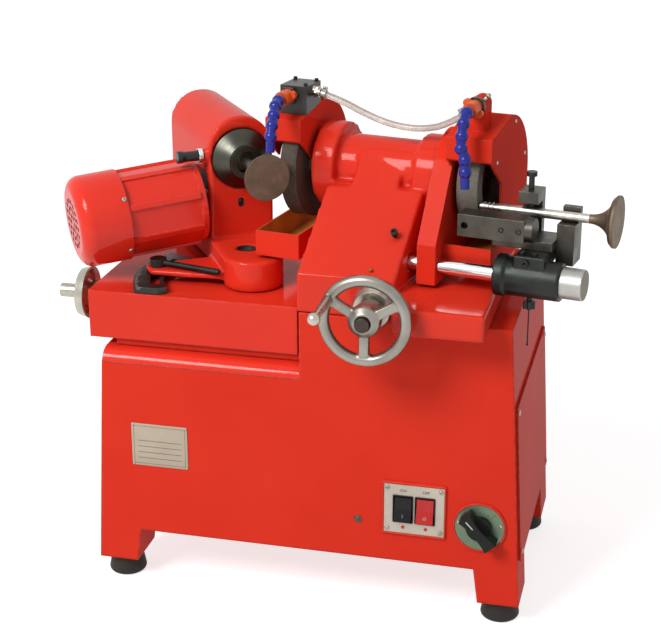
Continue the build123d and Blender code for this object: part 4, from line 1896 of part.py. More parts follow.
# Thumb screw that presses on the stem
with BuildPart() as thumb_screw:
    thumb_low = STEM_UP + VALVE_STEM_RADIUS + RUNNING_GAP
    extrude(disc(wheel_level(thumb_low), THUMB_RADIUS, thumb_spot), amount=THUMB_TOP - thumb_low)
    thumb_head = disc(wheel_level(THUMB_TOP - THUMB_HEAD_HEIGHT), THUMB_HEAD_RADIUS, thumb_spot)
    extrude(thumb_head, amount=THUMB_HEAD_HEIGHT)
save(thumb_screw, "thumb_screw")

# Second rest beside the slide
with BuildPart() as stem_rest:
    rest_half = REST_SHOULDER - groove_depth
    rest_side = outline(
        wheel_across(REST_START),
        (REST_FRONT, REST_LOW),
        (REST_BACK, REST_LOW),
        (REST_BACK, REST_EAR_TOP),
        (REST_EAR_FRONT, REST_EAR_TOP),
        (REST_EAR_FRONT, REST_SHOULDER),
        (STEM_BACK + rest_half, REST_SHOULDER),
        (STEM_BACK, groove_depth),
        (STEM_BACK - rest_half, REST_SHOULDER),
        (REST_FRONT, REST_SHOULDER),
    )
    extrude(rest_side, amount=REST_END - REST_START)
save(stem_rest, "stem_rest")

# Valve whose stem end is ground
with BuildPart() as stem_valve:
    stem_plane = Plane(origin=wheel_at(0, STEM_BACK, STEM_UP), x_dir=WHEEL_ALONG, z_dir=UP)
    ground = valve_profile(
        stem_plane, STEM_TIP, STEM_TIP + STEM_VALVE_LENGTH, STEM_HEAD_RADIUS, STEM_TULIP
    )
    revolve(ground, axis=STEM_AXIS)
    for index in range(KEEPER_COUNT):
        keeper = STEM_TIP + KEEPER_START + index * KEEPER_PITCH
        with BuildSketch(wheel_across(keeper)):
            with Locations((STEM_BACK, STEM_UP)):
                Circle(VALVE_STEM_RADIUS)
                Circle(VALVE_STEM_RADIUS - KEEPER_DEPTH, mode=Mode.SUBTRACT)
        extrude(amount=KEEPER_WIDTH, mode=Mode.SUBTRACT)
save(stem_valve, "stem_valve")

# Coolant: distribution block on the left guard's brow
brow_rise = (sqrt(GUARD_RADIUS**2 - GUARD_RIDGE**2) - GUARD_BROW) / (GUARD_RIDGE - GUARD_FRONT)


def brow_at(back):
    """Height of the guards' sloping brow."""
    return GUARD_BROW + (back - GUARD_FRONT) * brow_rise


hose_points = [wheel_at(*point) for point in HOSE_ROUTE]

with BuildPart() as coolant_block:
    block_side = outline(
        wheel_across(BLOCK_START),
        (BLOCK_FRONT, brow_at(BLOCK_FRONT)),
        (BLOCK_BACK, brow_at(BLOCK_BACK)),
        (BLOCK_BACK, BLOCK_TOP),
        (BLOCK_FRONT, BLOCK_TOP),
    )
    extrude(block_side, amount=BLOCK_END - BLOCK_START)
save(coolant_block, "coolant_block")


# Hose fittings on the block and on the post
with BuildPart() as hose_fittings:
    for end, inner in ((hose_points[0], hose_points[1]), (hose_points[-1], hose_points[-2])):
        tail = Plane(origin=end, z_dir=end - inner)
        extrude(disc(tail, FITTING_RADIUS), amount=FITTING_LENGTH)
    split(bisect_by=wheel_across(BLOCK_END), keep=Keep.TOP)
    split(bisect_by=wheel_across(POST_START), keep=Keep.BOTTOM)
save(hose_fittings, "hose_fittings")


def tap(along, seat, up, turn):
    """Coolant tap: round body on its seat, with a wing handle across its front."""
    body = Plane(origin=wheel_at(along, seat, up), x_dir=WHEEL_ALONG, z_dir=-WHEEL_BACK)
    wing_turn = radians(turn)
    wing = Plane(
        origin=wheel_at(along, seat - TAP_WING_STAND, up),
        x_dir=WHEEL_ALONG * cos(wing_turn) + UP * sin(wing_turn),
        z_dir=-WHEEL_BACK,
    )
    with BuildPart() as valve:
        extrude(disc(body.offset(RUNNING_GAP), TAP_RADIUS), amount=TAP_LENGTH - RUNNING_GAP)
        socket = disc(body.offset(TAP_LENGTH), NOZZLE_SPIGOT_RADIUS + SHAFT_GAP)
        extrude(socket, amount=-NOZZLE_SPIGOT_LENGTH, mode=Mode.SUBTRACT)
        with BuildSketch(wing):
            SlotOverall(TAP_WING_LENGTH, TAP_WING_WIDTH)
        extrude(amount=TAP_WING_THICKNESS)
    return valve


save(tap(LEFT_TAP_ALONG, BLOCK_FRONT, LEFT_TAP_UP, LEFT_TAP_TURN), "left_tap")
save(tap(POST_MIDDLE, POST_FRONT, POST_ROUND_UP, RIGHT_TAP_TURN), "right_tap")


def jointed_nozzle(tap_end, bends, links):
    """Jointed nozzle hose: bulbs with waists along a smooth line, ending in a taper tip."""
    route = [tap_end] + [tap_end + wheel_run(*bend) for bend in bends]
    line = Edge.make_spline(route, tangents=[-WHEEL_BACK, -UP])
    pitch = line.length / links
    last = (links - 0.5) / links
    with BuildPart() as hose:
        with Locations(*[line @ ((index + 0.5) / links) for index in range(links)]):
            Sphere(NOZZLE_RADIUS)
        spigot_foot = Plane(origin=tap_end, z_dir=WHEEL_BACK)
        spigot_reach = NOZZLE_STAND + NOZZLE_SPIGOT_LENGTH - RUNNING_GAP
        extrude(disc(spigot_foot, NOZZLE_SPIGOT_RADIUS), amount=spigot_reach)
        extrude(disc(spigot_foot, NOZZLE_SPIGOT_RADIUS), amount=-pitch / 2)
        for index in range(1, links):
            waist = index / links
            with Locations(Plane(origin=line @ waist, z_dir=line % waist)):
                Cylinder(NOZZLE_WAIST, pitch)
        with Locations(Plane(origin=line @ last, z_dir=line % last)):
            Cone(
                NOZZLE_WAIST,
                NOZZLE_TIP_RADIUS,
                pitch / 2 + NOZZLE_TIP_LENGTH,
                align=(Align.CENTER, Align.CENTER, Align.MIN),
            )
    return hose


TAP_REACH = TAP_LENGTH + NOZZLE_STAND
left_tap_end = wheel_at(LEFT_TAP_ALONG, BLOCK_FRONT - TAP_REACH, LEFT_TAP_UP)
right_tap_end = wheel_at(POST_MIDDLE, POST_FRONT - TAP_REACH, POST_ROUND_UP)
save(jointed_nozzle(left_tap_end, LEFT_NOZZLE_BENDS, LEFT_BEAD_COUNT), "left_nozzle")
save(jointed_nozzle(right_tap_end, RIGHT_NOZZLE_BENDS, RIGHT_BEAD_COUNT), "right_nozzle")


def hose_radii(points):
    """Bend radius at each inner point: as large as the two runs beside it allow."""
    radii = []
    for before, here, after in zip(points, points[1:], points[2:]):
        turn = (here - before).get_angle(after - here)
        shorter = min((here - before).length, (after - here).length)
        radii.append(HOSE_BEND_SHARE * shorter / tan(radians(turn / 2)))
    return radii


# Clear hose that hangs from the block to the post
bends = hose_radii(hose_points)
print("hose bend radii", [round(bend, 1) for bend in bends])
with BuildPart() as coolant_hose:
    with BuildLine():
        hose_line = FilletPolyline(*hose_points, radius=bends)
    with BuildSketch(Plane(origin=hose_line @ 0, z_dir=hose_line % 0)):
        Circle(HOSE_RADIUS)
    sweep()
section_volume = pi * HOSE_RADIUS**2 * hose_line.length
print("hose length", round(hose_line.length, 1))
print("hose volume", round(coolant_hose.part.volume), round(section_volume))
save(coolant_hose, "coolant_hose")
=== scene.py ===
import json
from math import cos, pi, radians, sin

import bpy
from mathutils import Matrix, Vector


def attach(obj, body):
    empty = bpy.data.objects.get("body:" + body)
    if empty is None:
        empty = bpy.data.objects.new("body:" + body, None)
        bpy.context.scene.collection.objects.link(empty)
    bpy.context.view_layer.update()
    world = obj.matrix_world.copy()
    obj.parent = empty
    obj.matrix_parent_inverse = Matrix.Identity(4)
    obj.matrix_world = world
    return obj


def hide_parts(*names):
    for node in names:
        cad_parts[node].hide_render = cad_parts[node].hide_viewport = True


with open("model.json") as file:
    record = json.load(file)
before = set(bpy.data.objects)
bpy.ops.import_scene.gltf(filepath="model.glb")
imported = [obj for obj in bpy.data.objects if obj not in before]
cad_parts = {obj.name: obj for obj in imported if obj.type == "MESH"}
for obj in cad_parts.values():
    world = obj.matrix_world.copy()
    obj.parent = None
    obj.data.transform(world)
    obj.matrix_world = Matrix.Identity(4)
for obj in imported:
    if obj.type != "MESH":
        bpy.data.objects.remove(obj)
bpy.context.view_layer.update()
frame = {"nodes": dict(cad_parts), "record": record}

NODES = frame["nodes"]
MM = 0.001
UP = Vector((0, 0, 1))
RIGHT = Vector((1, 0, 0))
FRONT = Vector((0, -1, 0))

# Lines and middles of the heads in mm, as the part's source has them
WHEEL_TURN = radians(10)
WORK_TURN = radians(55)
MOTOR_DIP = radians(5)
SPINDLE_HEIGHT = 508
WORK_OFFSET = 10
WHEEL_ALONG = Vector((cos(WHEEL_TURN), -sin(WHEEL_TURN), 0))
WHEEL_BACK = Vector((sin(WHEEL_TURN), cos(WHEEL_TURN), 0))
WHEEL_MIDDLE = Vector((55, 0, SPINDLE_HEIGHT))
WORK_ALONG = Vector((cos(WORK_TURN), -sin(WORK_TURN), 0))
WORK_ACROSS = Vector((sin(WORK_TURN), cos(WORK_TURN), 0))
PIVOT = Vector((-80, -62, 0))
WORK_MIDDLE = PIVOT + UP * SPINDLE_HEIGHT + WORK_ACROSS * WORK_OFFSET
MOTOR_LINE = (-WORK_ACROSS * cos(MOTOR_DIP) - UP * sin(MOTOR_DIP)).normalized()
FEED_MIDDLE = Vector((87.5, 0, 395))
CABINET_FRONT = -145
SWITCH_FRONT = -147


def wheel_spot(along, back, up):
    """Point of the wheel head in mm, from its spindle's middle."""
    return WHEEL_MIDDLE + WHEEL_ALONG * along + WHEEL_BACK * back + UP * up


def wheel_at(along, back, up):
    """The same point in metres."""
    return wheel_spot(along, back, up) * MM


def work_spot(along, across, up):
    """Point of the work head in mm, from its spindle beside the pivot."""
    return WORK_MIDDLE + WORK_ALONG * along + WORK_ACROSS * across + UP * up


MOTOR_MIDDLE = work_spot(-102, 0, -51)

# Camera, fitted to the photo
EYE_BACK = Vector((0.2223, -0.9084, 0.3542)).normalized()
EYE_RIGHT = Vector((0.9713, 0.2377, 0)).normalized()
EYE_UP = EYE_BACK.cross(EYE_RIGHT)
EYE_TARGET = Vector((-0.00155, 0, 0.30898))
EYE_DISTANCE = 1.904
SENSOR_WIDTH = 36
PHOTO_WIDTH = 661
PHOTO_FOCUS = 1551.67
FAR_CLIP = 60
lens = bpy.data.cameras.new("photo_camera")
lens.sensor_width = SENSOR_WIDTH
lens.lens = PHOTO_FOCUS / PHOTO_WIDTH * SENSOR_WIDTH
lens.clip_end = FAR_CLIP
camera = bpy.data.objects.new("photo_camera", lens)
eye_turn = Matrix((EYE_RIGHT, EYE_UP, EYE_BACK)).transposed().to_4x4()
camera.matrix_world = Matrix.Translation(EYE_TARGET + EYE_BACK * EYE_DISTANCE) @ eye_turn
bpy.context.scene.collection.objects.link(camera)
bpy.context.scene.camera = camera
bpy.context.scene.view_settings.view_transform = "Standard"


# Node trees
def srgb(red, green, blue):
    """Colour from screen values of 0 to 255."""
    parts = [value / 255 for value in (red, green, blue)]
    linear = [part / 12.92 if part < 0.04045 else ((part + 0.055) / 1.055) ** 2.4 for part in parts]
    return (*linear, 1)


def feed(tree, socket, value):
    """Socket set to a value, or joined to another node's output."""
    if isinstance(value, bpy.types.NodeSocket):
        tree.links.new(value, socket)
    else:
        socket.default_value = value


def add_node(tree, kind, inputs=None, **settings):
    """Node with its settings and inputs."""
    node = tree.nodes.new("ShaderNode" + kind)
    for name, value in settings.items():
        setattr(node, name, value)
    for socket, value in (inputs or {}).items():
        feed(tree, node.inputs[socket], value)
    return node


def math(tree, operation, first, second=0.0):
    """Output of one sum."""
    return add_node(tree, "Math", {0: first, 1: second}, operation=operation).outputs[0]


def vector_math(tree, operation, first, second, output="Vector"):
    """Output of one sum of vectors."""
    return add_node(tree, "VectorMath", {0: first, 1: second}, operation=operation).outputs[output]


def spread(tree, value, low, high, to_low=0.0, to_high=1.0):
    """Value stretched from one range to another and held there."""
    sockets = {0: value, 1: low, 2: high, 3: to_low, 4: to_high}
    return add_node(tree, "MapRange", sockets).outputs[0]


def ranged(tree, mask, low, high):
    """Value from low to high as a mask goes from 0 to 1."""
    return spread(tree, mask, 0.0, 1.0, low, high)


def mixed(tree, factor, first, second):
    """Two colours mixed."""
    return add_node(tree, "Mix", {0: factor, 6: first, 7: second}, data_type="RGBA").outputs[2]


def noise(tree, point, scale, detail=3.0, roughness=0.5):
    """Cloudy value round a half."""
    sockets = {"Vector": point, "Scale": scale, "Detail": detail, "Roughness": roughness}
    return add_node(tree, "TexNoise", sockets).outputs[0]


def shader_group(name, inputs, outputs):
    """Empty group with named sockets: its tree and what it takes."""
    tree = bpy.data.node_groups.new(name, "ShaderNodeTree")
    for label, kind, value in inputs:
        socket = tree.interface.new_socket(label, in_out="INPUT", socket_type="NodeSocket" + kind)
        socket.default_value = value
    for label, kind in outputs:
        tree.interface.new_socket(label, in_out="OUTPUT", socket_type="NodeSocket" + kind)
    return tree, tree.nodes.new("NodeGroupInput").outputs


def give(tree, **results):
    """Group whose outputs are joined to its results."""
    outputs = tree.nodes.new("NodeGroupOutput").inputs
    for name, result in results.items():
        tree.links.new(result, outputs[name])
    return tree


def place(tree, group, **values):
    """Group placed in a material with its own values; spaces in a socket's name are written as _."""
    node = tree.nodes.new("ShaderNodeGroup")
    node.node_tree = group
    for name, value in values.items():
        feed(tree, node.inputs[name.replace("_", " ")], value)
    return node.outputs


def surface_point(tree):
    """Place on the piece, in metres in the shared frame at rest."""
    return add_node(tree, "TexCoord").outputs["Object"]


def make_soft_edges():
    """Rounded edge normals, and a broken mask along the edges, for pale painted highlights on paint and
    rubbed wear on blacked steel.
    """
    tree, taken = shader_group(
        "soft_edges",
        [("Radius", "Float", 0.001), ("Break Scale", "Float", 90.0)],
        [("Normal", "Vector"), ("Edge", "Float")],
    )
    rounded = add_node(tree, "Bevel", {"Radius": taken["Radius"]}, samples=6).outputs[0]
    flat = add_node(tree, "NewGeometry").outputs["Normal"]
    turn = math(tree, "SUBTRACT", 1.0, vector_math(tree, "DOT_PRODUCT", rounded, flat, "Value"))
    broken = noise(tree, surface_point(tree), taken["Break Scale"], 4.0, 0.6)
    edge = math(tree, "MULTIPLY", spread(tree, turn, 0.01, 0.12), spread(tree, broken, 0.42, 0.62))
    return give(tree, Normal=rounded, Edge=edge)


def make_colour_drift():
    """Slow change from one colour to another over the surface."""
    tree, taken = shader_group(
        "colour_drift",
        [
            ("Colour", "Color", (1, 1, 1, 1)),
            ("Other", "Color", (0, 0, 0, 1)),
            ("Scale", "Float", 5.0),
            ("Amount", "Float", 0.5),
        ],
        [("Colour", "Color"), ("Mask", "Float")],
    )
    cloud = spread(tree, noise(tree, surface_point(tree), taken["Scale"], 5.0, 0.55), 0.3, 0.72)
    mask = math(tree, "MULTIPLY", cloud, taken["Amount"])
    return give(tree, Colour=mixed(tree, mask, taken["Colour"], taken["Other"]), Mask=cloud)


def make_fine_grain():
    """Small lumps of a sprayed or cast skin, and the pits between them."""
    tree, taken = shader_group(
        "fine_grain", [("Scale", "Float", 300.0), ("Pits", "Float", 0.3)], [("Height", "Float")]
    )
    point = surface_point(tree)
    lumps = noise(tree, point, taken["Scale"], 2.0, 0.5)
    cells = add_node(tree, "TexVoronoi", {"Vector": point, "Scale": taken["Scale"]}).outputs["Distance"]
    pits = math(tree, "MULTIPLY", spread(tree, cells, 0.0, 0.35), taken["Pits"])
    return give(tree, Height=math(tree, "ADD", lumps, pits))


def make_turned_lines():
    """Fine rings left by a lathe round an axis through a spot."""
    tree, taken = shader_group(
        "turned_lines",
        [("Spot", "Vector", (0, 0, 0)), ("Axis", "Vector", (0, 0, 1)), ("Density", "Float", 900.0)],
        [("Height", "Float"), ("Streak", "Float")],
    )
    arm = vector_math(tree, "SUBTRACT", surface_point(tree), taken["Spot"])
    along = vector_math(tree, "DOT_PRODUCT", arm, taken["Axis"], "Value")
    square = vector_math(tree, "DOT_PRODUCT", arm, arm, "Value")
    out = math(tree, "SQRT", math(tree, "SUBTRACT", square, math(tree, "MULTIPLY", along, along)))
    lines = add_node(tree, "CombineXYZ", {0: along, 1: out}).outputs[0]
    height = noise(tree, lines, taken["Density"], 3.0, 0.7)
    coarse = math(tree, "MULTIPLY", taken["Density"], 0.12)
    return give(tree, Height=height, Streak=spread(tree, noise(tree, lines, coarse, 2.0), 0.3, 0.7))


def make_brushed_lines():
    """Straight scratches of a brushed or ground face: long where Stretch is small."""
    tree, taken = shader_group(
        "brushed_lines", [("Stretch", "Vector", (40, 900, 900))], [("Height", "Float"), ("Streak", "Float")]
    )
    lines = vector_math(tree, "MULTIPLY", surface_point(tree), taken["Stretch"])
    height = noise(tree, lines, 1.0, 4.0, 0.7)
    return give(tree, Height=height, Streak=spread(tree, noise(tree, lines, 0.25, 2.0), 0.3, 0.7))


def make_crevice_shade():
    """Mask of painted shade in corners and crevices, from ambient occlusion, broken by clouds."""
    tree, taken = shader_group(
        "painted_crevice_shade", [("Reach", "Float", 0.01), ("Scale", "Float", 40.0)], [("Mask", "Float")]
    )
    # ambient occlusion marks where shade falls: colours laid in by this mask are painted shade
    open_sky = add_node(tree, "AmbientOcclusion", {"Distance": taken["Reach"]}, samples=6).outputs["AO"]
    cloud = spread(tree, noise(tree, surface_point(tree), taken["Scale"], 4.0, 0.6), 0.25, 0.75, 0.4, 1.0)
    return give(tree, Mask=math(tree, "MULTIPLY", spread(tree, open_sky, 0.95, 0.3), cloud))


def make_inside_box():
    """Mask of what lies within a turned box."""
    tree, taken = shader_group(
        "inside_box",
        [("Middle", "Vector", (0, 0, 0)), ("Half", "Vector", (1, 1, 1)), ("Turn", "Vector", (0, 0, 0))],
        [("Mask", "Float")],
    )
    sockets = {"Vector": surface_point(tree), "Location": taken["Middle"], "Rotation": taken["Turn"]}
    local = add_node(tree, "Mapping", sockets, vector_type="TEXTURE").outputs[0]
    share = vector_math(tree, "DIVIDE", local, taken["Half"])
    sides = add_node(tree, "SeparateXYZ", {0: vector_math(tree, "ABSOLUTE", share, (0, 0, 0))}).outputs
    most = math(tree, "MAXIMUM", math(tree, "MAXIMUM", sides[0], sides[1]), sides[2])
    return give(tree, Mask=spread(tree, most, 1.0, 0.995))


def make_along_span():
    """Mask of what lies between two places along an axis."""
    line = [("Spot", "Vector", (0, 0, 0)), ("Axis", "Vector", (0, 0, 1))]
    ends = [("Start", "Float", 0), ("End", "Float", 1)]
    tree, taken = shader_group("along_span", line + ends, [("Mask", "Float")])
    arm = vector_math(tree, "SUBTRACT", surface_point(tree), taken["Spot"])
    along = vector_math(tree, "DOT_PRODUCT", arm, taken["Axis"], "Value")
    after = math(tree, "GREATER_THAN", along, taken["Start"])
    before = math(tree, "LESS_THAN", along, taken["End"])
    return give(tree, Mask=math(tree, "MULTIPLY", after, before))


def make_grit():
    """Crystals of a grinding wheel: a speckle of pale and dark grains, and their height."""
    given = [("Speckle", "Float"), ("Height", "Float")]
    tree, taken = shader_group("grit", [("Scale", "Float", 1400.0)], given)
    cells = add_node(tree, "TexVoronoi", {"Vector": surface_point(tree), "Scale": taken["Scale"]})
    speckle = add_node(tree, "SeparateColor", {0: cells.outputs["Color"]}).outputs[0]
    return give(tree, Speckle=speckle, Height=cells.outputs["Distance"])


SOFT_EDGES = make_soft_edges()
COLOUR_DRIFT = make_colour_drift()
FINE_GRAIN = make_fine_grain()
TURNED_LINES = make_turned_lines()
BRUSHED_LINES = make_brushed_lines()
CREVICE_SHADE = make_crevice_shade()
INSIDE_BOX = make_inside_box()
ALONG_SPAN = make_along_span()
GRIT = make_grit()


# Finishes, kept by name
FINISHES = {}


def new_finish(name, plain):
    """Material whose plain sockets are set at once: its tree and its shader's sockets."""
    material = bpy.data.materials.new(name)
    material.use_nodes = True
    FINISHES[name] = material
    sockets = material.node_tree.nodes["Principled BSDF"].inputs
    for socket, value in plain.items():
        sockets[socket].default_value = value
    return material.node_tree, sockets


def bumped(tree, height, distance, strength, normal):
    """Normal of a surface with small heights on it."""
    sockets = {"Height": height, "Distance": distance, "Strength": strength, "Normal": normal}
    return add_node(tree, "Bump", sockets).outputs[0]


def clouded(tree, colour, other, scale, amount):
    """Drift between two screen colours."""
    return place(tree, COLOUR_DRIFT, Colour=srgb(*colour), Other=srgb(*other), Scale=scale, Amount=amount)


def stained(tree, base, mask, share, stain):
    """Colour with a share of a screen colour laid over it by a mask."""
    return mixed(tree, math(tree, "MULTIPLY", mask, share), base, srgb(*stain))


def join_shader(tree, sockets, colour, rough, normal):
    """Colour, roughness and normal joined to the shader."""
    tree.links.new(colour, sockets["Base Color"])
    tree.links.new(rough, sockets["Roughness"])
    tree.links.new(normal, sockets["Normal"])


def paint(name, colour, other, edge, peel=420.0, lump=0.00006, coat=0.06, inner=None):
    """Enamel: matt colour under a thin gloss coat, with a sprayed skin, painted shade in its corners and
    pale edges that are painted highlights with some rubbed wear.
    """
    gloss = {"Coat Weight": coat, "Coat Roughness": 0.12, "Coat IOR": 1.4}
    tree, sockets = new_finish(name, {"IOR": 1.45, "Specular IOR Level": 0.0, **gloss})
    edges = place(tree, SOFT_EDGES, Radius=edge, Break_Scale=120.0)
    drift = clouded(tree, colour, other, 7.0, 0.55)
    corner_shade = place(tree, CREVICE_SHADE, Reach=0.012, Scale=60.0)
    # dark red laid into corners and crevices: painted shade
    corner_shaded = stained(tree, drift["Colour"], corner_shade["Mask"], 0.45, (70, 14, 14))
    # pale pink along the edges: painted highlight of gloss on rounded edges, with some rubbed wear
    edge_highlight_and_wear = stained(tree, corner_shaded, edges["Edge"], 0.5, (222, 116, 98))
    shade = edge_highlight_and_wear if inner is None else inner(tree, edge_highlight_and_wear)
    skin = place(tree, FINE_GRAIN, Scale=peel, Pits=0.25)
    normal = bumped(tree, skin["Height"], lump, 0.5, edges["Normal"])
    join_shader(tree, sockets, shade, ranged(tree, drift["Mask"], 0.3, 0.4), normal)


def tray_stain(middle, half):
    """Amber film of old coolant inside a tray, with painted shade in its corners."""
    def stain(tree, shade):
        box = place(tree, INSIDE_BOX, Middle=middle, Half=half, Turn=(0, 0, -WHEEL_TURN))
        film = clouded(tree, (244, 164, 84), (196, 108, 52), 22.0, 0.8)
        # darker brown in the tray's corners: painted shade
        dark = place(tree, CREVICE_SHADE, Reach=0.02, Scale=90.0)
        film_shaded_in_corners = stained(tree, film["Colour"], dark["Mask"], 0.3, (80, 38, 16))
        return mixed(tree, box["Mask"], shade, film_shaded_in_corners)
    return stain


def dark_vents(tree, shade):
    """Shadow inside the fan cowl, seen through its round vents, with no gloss there."""
    corners = NODES["motor_cowl"].data.vertices
    cowl_end = max((corner.co / MM - MOTOR_MIDDLE).dot(MOTOR_LINE) for corner in corners)
    side = UP.cross(MOTOR_LINE)
    turn = Matrix((MOTOR_LINE, side, MOTOR_LINE.cross(side))).transposed().to_euler()
    middle = MOTOR_MIDDLE + MOTOR_LINE * (cowl_end - VENT_LIP - VENT_DEPTH / 2)
    half = Vector((VENT_DEPTH / 2, VENT_REACH, VENT_REACH))
    hidden = place(tree, INSIDE_BOX, Middle=middle * MM, Half=half * MM, Turn=tuple(turn))["Mask"]
    gloss = tree.nodes["Principled BSDF"].inputs["Coat Weight"]
    tree.links.new(ranged(tree, hidden, gloss.default_value, 0.0), gloss)
    return mixed(tree, hidden, shade, srgb(30, 8, 7))


def turned_metal(name, colour, dark, axis, rough=0.24, lump=0.00002, corner_shade=0.5):
    """Bare metal with lathe rings round its axis, tarnish clouds and painted shade in its corners."""
    tree, sockets = new_finish(name, {"Metallic": 1.0})
    edges = place(tree, SOFT_EDGES, Radius=0.0007, Break_Scale=200.0)
    rings = place(tree, TURNED_LINES, Spot=axis[0], Axis=axis[1], Density=1400.0)
    drift = clouded(tree, colour, dark, 30.0, 0.6)
    hollow_shade = place(tree, CREVICE_SHADE, Reach=0.008, Scale=120.0)
    # dark grey in corners and crevices: painted shade
    shade = stained(tree, drift["Colour"], hollow_shade["Mask"], corner_shade, (48, 44, 38))
    normal = bumped(tree, rings["Height"], lump, 0.6, edges["Normal"])
    join_shader(tree, sockets, shade, ranged(tree, rings["Streak"], rough - 0.06, rough + 0.1), normal)


def brushed_metal(name, colour, dark, rough, metal=1.0, stretch=(60, 900, 900)):
    """Plate or block with straight brush marks and faint clouds."""
    tree, sockets = new_finish(name, {"Metallic": metal})
    edges = place(tree, SOFT_EDGES, Radius=0.0006, Break_Scale=160.0)
    lines = place(tree, BRUSHED_LINES, Stretch=stretch)
    drift = clouded(tree, colour, dark, 36.0, 0.55)
    hollow_shade = place(tree, CREVICE_SHADE, Reach=0.006, Scale=140.0)
    # dark grey in corners and crevices: painted shade
    shade = stained(tree, drift["Colour"], hollow_shade["Mask"], 0.5, (44, 40, 36))
    normal = bumped(tree, lines["Height"], 0.00003, 0.6, edges["Normal"])
    join_shader(tree, sockets, shade, ranged(tree, lines["Streak"], rough - 0.07, rough + 0.1), normal)


def blacked_steel(name, colour, other, worn, metal=0.75):
    """Oil-blacked steel: mottled dark skin, bright where edges rub through."""
    tree, sockets = new_finish(name, {"IOR": 1.6})
    edges = place(tree, SOFT_EDGES, Radius=0.0008, Break_Scale=220.0)
    drift = clouded(tree, colour, other, 45.0, 0.8)
    shade = stained(tree, drift["Colour"], edges["Edge"], 0.6, worn)
    tree.links.new(ranged(tree, edges["Edge"], metal, 1.0), sockets["Metallic"])
    skin = place(tree, FINE_GRAIN, Scale=700.0, Pits=0.5)
    normal = bumped(tree, skin["Height"], 0.00005, 0.5, edges["Normal"])
    join_shader(tree, sockets, shade, ranged(tree, drift["Mask"], 0.34, 0.48), normal)


def moulded(name, colour, other, rough, grain=900.0, lump=0.00004, shine=0.5):
    """Moulded plastic or rubber with a fine satin skin and painted shade in its corners."""
    tree, sockets = new_finish(name, {"IOR": 1.47, "Specular IOR Level": shine})
    edges = place(tree, SOFT_EDGES, Radius=0.0008, Break_Scale=200.0)
    drift = clouded(tree, colour, other, 60.0, 0.5)
    hollow_shade = place(tree, CREVICE_SHADE, Reach=0.005, Scale=150.0)
    # dark grey in corners and crevices: painted shade
    shade = stained(tree, drift["Colour"], hollow_shade["Mask"], 0.4, (38, 34, 30))
    skin = place(tree, FINE_GRAIN, Scale=grain, Pits=0.3)
    normal = bumped(tree, skin["Height"], lump, 0.5, edges["Normal"])
    join_shader(tree, sockets, shade, ranged(tree, drift["Mask"], rough - 0.05, rough + 0.08), normal)


def grinding_grit(name, colour, pale, dark):
    """Vitrified wheel: packed grains with loaded, darker patches."""
    tree, sockets = new_finish(name, {"IOR": 1.5})
    edges = place(tree, SOFT_EDGES, Radius=0.0012, Break_Scale=260.0)
    grains = place(tree, GRIT, Scale=1500.0)
    drift = clouded(tree, colour, dark, 24.0, 0.7)
    shade = mixed(tree, spread(tree, grains["Speckle"], 0.72, 1.0, 0.0, 0.55), drift["Colour"], srgb(*pale))
    normal = bumped(tree, grains["Height"], 0.0002, 0.6, edges["Normal"])
    join_shader(tree, sockets, shade, ranged(tree, grains["Speckle"], 0.62, 0.9), normal)


def two_part_metal(name, first, second, axis, start, end, rough=0.34):
    """Turned piece whose stretch between two places along its axis has another colour."""
    tree, sockets = new_finish(name, {"Metallic": 1.0})
    edges = place(tree, SOFT_EDGES, Radius=0.0007, Break_Scale=220.0)
    rings = place(tree, TURNED_LINES, Spot=axis[0], Axis=axis[1], Density=1300.0)
    span = place(tree, ALONG_SPAN, Spot=axis[0], Axis=axis[1], Start=start, End=end)
    one = clouded(tree, *first, 60.0, 0.7)
    two = clouded(tree, *second, 60.0, 0.7)
    hollow_shade = place(tree, CREVICE_SHADE, Reach=0.008, Scale=120.0)
    both = mixed(tree, span["Mask"], one["Colour"], two["Colour"])
    # dark grey in corners and crevices: painted shade
    shade = stained(tree, both, hollow_shade["Mask"], 0.4, (48, 42, 36))
    streaks = ranged(tree, rings["Streak"], rough - 0.06, rough + 0.08)
    dull = math(tree, "ADD", streaks, math(tree, "MULTIPLY", span["Mask"], 0.22))
    normal = bumped(tree, rings["Height"], 0.000004, 0.5, edges["Normal"])
    join_shader(tree, sockets, shade, dull, normal)


def clear_tube(name):
    """Clear soft hose, a little yellowed and dusty."""
    tree, sockets = new_finish(name, {"IOR": 1.45, "Transmission Weight": 0.55})
    drift = clouded(tree, (230, 224, 216), (204, 194, 182), 40.0, 0.8)
    tree.links.new(drift["Colour"], sockets["Base Color"])
    tree.links.new(ranged(tree, drift["Mask"], 0.16, 0.34), sockets["Roughness"])


# Lines of turned pieces, each a point in metres and a direction
WHEEL_AXIS = (wheel_at(0, 0, 0), WHEEL_ALONG)
BAR_AXIS = (wheel_at(0, -85, -81), WHEEL_ALONG)
STEM_AXIS = (wheel_at(0, -45, -18), WHEEL_ALONG)
WORK_AXIS = (work_spot(0, 0, 0) * MM, WORK_ALONG)
FEED_AXIS = (FEED_MIDDLE * MM, FRONT)
HANDLE_AXIS = ((0.048096, -0.211, 0.41775), FRONT)
TRAVERSE_AXIS = ((-0.263, -0.06, 0.344), RIGHT)

